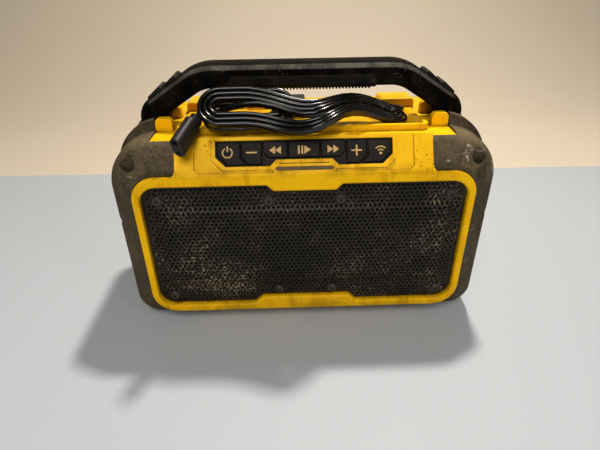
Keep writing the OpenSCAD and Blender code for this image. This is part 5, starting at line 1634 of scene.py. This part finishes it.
@dataclass
class Screws:
    """A row of domed screw heads with a star-shaped recess, set by rule.

    Attributes:
        dome: Radius and height of the head's rings, as parts of its own.
        recess: Radius and height of the recess's rings.
        flute: Radius of the recess between its six points, as a part of that at the points.
        seed: Seed of the heads' turns.
    """

    radius: float
    height: float
    finish: Finish
    dome: Sequence[Flat] = ((1.0, 0.0), (1.0, 0.45), (0.86, 0.85), (0.55, 1.0))
    recess: Sequence[Flat] = ((0.46, 1.0), (0.46, 0.25))
    flute: float = 0.74
    sides: int = 12
    seed: int = 7

    def _head(self) -> bpy.types.Mesh:
        """One head along +Z, its seat at the origin."""
        bm = bmesh.new()
        rings = []
        for rows, inner in ((self.dome, 1.0), (self.recess, self.flute)):
            for r, z in rows:
                ring = []
                for k in range(self.sides):
                    a = 2 * math.pi * k / self.sides
                    reach = self.radius * r * (1.0 if k % 2 == 0 else inner)
                    ring.append(bm.verts.new((reach * math.cos(a), reach * math.sin(a), self.height * z)))
                rings.append(ring)
        Pieces.skinned(bm, rings)
        return Pieces.from_bmesh(bm)

    def build(self, name: str, node: str, slot: str, places: Sequence[Vector], way: int) -> None:
        """Adds the heads in place of a node's screws.

        Args:
            name: Name of the piece.
            node: The node.
            slot: The record's material slot.
            places: Middle of each head's seat.
            way: -1 where the heads face -Y, 1 where they face +Y.
        """
        Pieces.add(name, self._at(places, way), self.finish, stands_for=[node], slot=slot, smooth=35)

    def _at(self, places: Sequence[Vector], way: int) -> bpy.types.Mesh:
        """One mesh with a head at each place, each turned a little."""
        head = bpy.data.objects.new("work_head", self._head())
        points = bpy.data.meshes.new("work_points")
        points.from_pydata([tuple(p) for p in places], [], [])
        t = Tree("screw_heads")
        shape = t.size("Head", head, "NodeSocketObject")
        coat = t.size("Finish", self.finish.material(), "NodeSocketMaterial")
        spread = t.size("Twist", 1.0)
        twist = t.node("FunctionNodeRandomValue", {"data_type": "FLOAT"}, {"Seed": self.seed}, 1)
        turned = t.maths("MULTIPLY", twist, spread)
        angle = t.node("ShaderNodeCombineXYZ", {}, {0: -way * math.pi / 2, 1: turned})
        laid = t.node("GeometryNodeInstanceOnPoints", {}, {
            "Points": t.entry.outputs["Geometry"],
            "Instance": t.node("GeometryNodeObjectInfo", {}, {"Object": shape}, "Geometry"),
            "Rotation": t.node("FunctionNodeEulerToRotation", {}, {0: angle})})
        done = t.node("GeometryNodeSetMaterial", {}, {
            0: t.node("GeometryNodeRealizeInstances", {}, {0: laid}), "Material": coat})
        mesh = t.run(points, done)
        bpy.data.objects.remove(head)
        return mesh


class Symbol(Enum):
    """Generic signs on the keys."""

    POWER = "power"
    MINUS = "minus"
    BACK = "back"
    PLAY = "play"
    FORWARD = "forward"
    PLUS = "plus"
    WAVES = "waves"


class Level(Enum):
    """Depth of a key's face below the panel, and its middle up the panel, in millimetres."""

    FLAT = (0.2, 15.4)
    RAISED = (-0.7, 16.4)


@dataclass
class Keypad:
    """Bezel, seven keys with printed signs, and the light bar.

    Attributes:
        print_t: How far the print stands off a key, and print_back how far it reaches into it.
        keys: Node, sign, place across the panel in millimetres, and level of each key.
    """

    edge_round: float = 0.3 * MM
    print_t: float = 0.12 * MM
    print_back: float = 0.2 * MM
    keys: Sequence[tuple[str, Symbol, float, Level]] = (
        ("power_button", Symbol.POWER, -49.6, Level.FLAT),
        ("volume_down_button", Symbol.MINUS, -34.0, Level.FLAT),
        ("previous_button", Symbol.BACK, -18.8, Level.RAISED),
        ("play_button", Symbol.PLAY, 0.0, Level.RAISED),
        ("next_button", Symbol.FORWARD, 18.8, Level.RAISED),
        ("volume_up_button", Symbol.PLUS, 34.0, Level.FLAT),
        ("pairing_button", Symbol.WAVES, 49.6, Level.FLAT),
    )

    @staticmethod
    def _arc(cx: float, cz: float, r0: float, r1: float, a0: float, a1: float, steps: int = 18) -> list[Flat]:
        """Corners of a ring sector."""
        turn = [math.radians(a0 + (a1 - a0) * k / steps) for k in range(steps + 1)]
        outer = [(cx + r1 * math.cos(a), cz + r1 * math.sin(a)) for a in turn]
        return outer + [(cx + r0 * math.cos(a), cz + r0 * math.sin(a)) for a in reversed(turn)]

    @staticmethod
    def _bar(cx: float, cz: float, w: float, h: float) -> list[Flat]:
        """Corners of a bar."""
        return [(cx + sx * w / 2, cz + sz * h / 2) for sx, sz in ((-1, -1), (1, -1), (1, 1), (-1, 1))]

    @staticmethod
    def _wedge(cx: float, cz: float, w: float, h: float) -> list[Flat]:
        """Corners of a triangle that points along its width."""
        return [(cx - w / 2, cz - h / 2), (cx + w / 2, cz), (cx - w / 2, cz + h / 2)]

    def _sign(self, symbol: Symbol) -> list[list[Flat]]:
        """Outlines of a sign about its middle, in millimetres."""
        if symbol is Symbol.POWER:
            return [self._arc(0, 0, 2.7, 3.5, 118, 422, 28), self._bar(0, 2.5, 0.9, 3.6)]
        if symbol is Symbol.MINUS:
            return [self._bar(0, 0, 7.0, 1.0)]
        if symbol is Symbol.PLUS:
            return [self._bar(0, 0, 7.0, 1.0), self._bar(0, 2.0, 1.0, 3.0), self._bar(0, -2.0, 1.0, 3.0)]
        if symbol is Symbol.BACK:
            return [self._wedge(-1.9, 0, -3.8, 5.2), self._wedge(1.9, 0, -3.8, 5.2)]
        if symbol is Symbol.FORWARD:
            return [self._wedge(-1.9, 0, 3.8, 5.2), self._wedge(1.9, 0, 3.8, 5.2)]
        if symbol is Symbol.PLAY:
            return [self._bar(-3.5, 0, 1.2, 5.4), self._bar(-1.3, 0, 1.2, 5.4), self._wedge(2.2, 0, 4.4, 5.6)]
        dot = self._arc(0, -2.2, 0.0, 0.9, 0, 360, 16)[:16]
        return [dot, self._arc(0, -2.2, 2.0, 2.8, 45, 135), self._arc(0, -2.2, 4.0, 4.8, 45, 135)]

    def build(self) -> None:
        """Rounds the bezel, keys and light bar, and prints the signs."""
        small = [Rounding(self.edge_round, 2)]
        Pieces.recast("keypad_frame", "keypad_bezel", small, Finish.KEYPAD, "keypad")
        Pieces.recast("light_strip", "light_pipe", small, Finish.LIGHT, "light_bar")
        for node, symbol, x, level in self.keys:
            Pieces.recast(node + "_cap", node, small, Finish.KEYPAD, "keypad", body=node)
            self._print(node, symbol, x, level)

    def _print(self, node: str, symbol: Symbol, x: float, level: Level) -> None:
        """Lays one sign on its key."""
        face, slope = level.value
        bm = bmesh.new()
        back = BODY.on_panel(0, self.print_back, 0) - BODY.on_panel(0, 0, 0)
        depth = face * MM - self.print_t
        for corners in self._sign(symbol):
            points = [BODY.on_panel((x + a) * MM, depth, (slope + b) * MM) for a, b in corners]
            work = Pieces.from_bmesh(Pieces.outline(points, back))
            bm.from_mesh(work)
            bpy.data.meshes.remove(work)
        Pieces.add(node + "_sign", Pieces.from_bmesh(bm), Finish.ICON, body=node, slot="keypad", smooth=30)


@dataclass
class Rear:
    """Ports, inlet, battery terminals and rear screws."""

    screw_x: float = 106 * MM
    screw_z: Flat = (30 * MM, 106 * MM)
    screw_sunk: float = 3 * MM
    head_r: float = 3.6 * MM
    head_h: float = 2.2 * MM
    edge_round: float = 0.4 * MM
    mouldings: Sequence[tuple[str, str]] = (
        ("ac_inlet", HOUSING), ("battery_terminals", HOUSING), ("port_door", "port_door"),
        ("port_socket_block", HOUSING),
    )

    def build(self) -> None:
        """Rounds and dresses what shows at the rear."""
        rounds = [Rounding(self.edge_round, 2)]
        for node, body in self.mouldings:
            Pieces.recast(node + "_moulding", node, rounds, Finish.TRIM, "black_plastic", body)
        seat_y = BODY.rear_y - self.screw_sunk
        seats = [Vector((s * self.screw_x, seat_y, z)) for s in (-1, 1) for z in self.screw_z]
        heads = Screws(self.head_r, self.head_h, Finish.STEEL)
        heads.build("rear_screw_heads", "housing_screws", "steel", seats, 1)


@dataclass
class Inside:
    """Solids that keep their own shape and only get a finish."""

    finishes: dict[Finish, Sequence[str]] = field(default_factory=lambda: {
        Finish.DEEP: ("baffle",),
        Finish.FEET: ("shell_seal", "left_surround", "right_surround"),
        Finish.STEEL: ("handle_screws", "driver_screws", "board_screws", "door_pin", "inlet_pins"),
        Finish.BASKET: ("left_basket", "right_basket"),
        Finish.MAGNET: ("left_magnet", "right_magnet"),
        Finish.CONE: ("left_cone", "right_cone"),
        Finish.SPIDER: ("left_spider", "right_spider"),
        Finish.BOARD: ("control_board", "main_board", "power_supply"),
        Finish.CONTACT: ("terminal_blades", "plug_pins"),
    })

    def dress(self) -> None:
        """Gives each node its material."""
        for finish, nodes in self.finishes.items():
            for node in nodes:
                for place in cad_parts[node].material_slots:
                    place.material = finish.material()
                LOG.info("%s dressed as %s", node, finish.value.name)


def main() -> None:
    """Builds the scene in order: camera and lead first, then the body's pieces."""
    logging.basicConfig(level=logging.INFO, format="%(name)s: %(message)s")
    studio = Studio()
    studio.camera()
    Lead().build()
    for assembly in (Shells(), Bumpers(), Handle(), Grille(), Keypad(), Rear()):
        assembly.build()
    Inside().dress()
    studio.room()


if __name__ == "__main__":
    main()
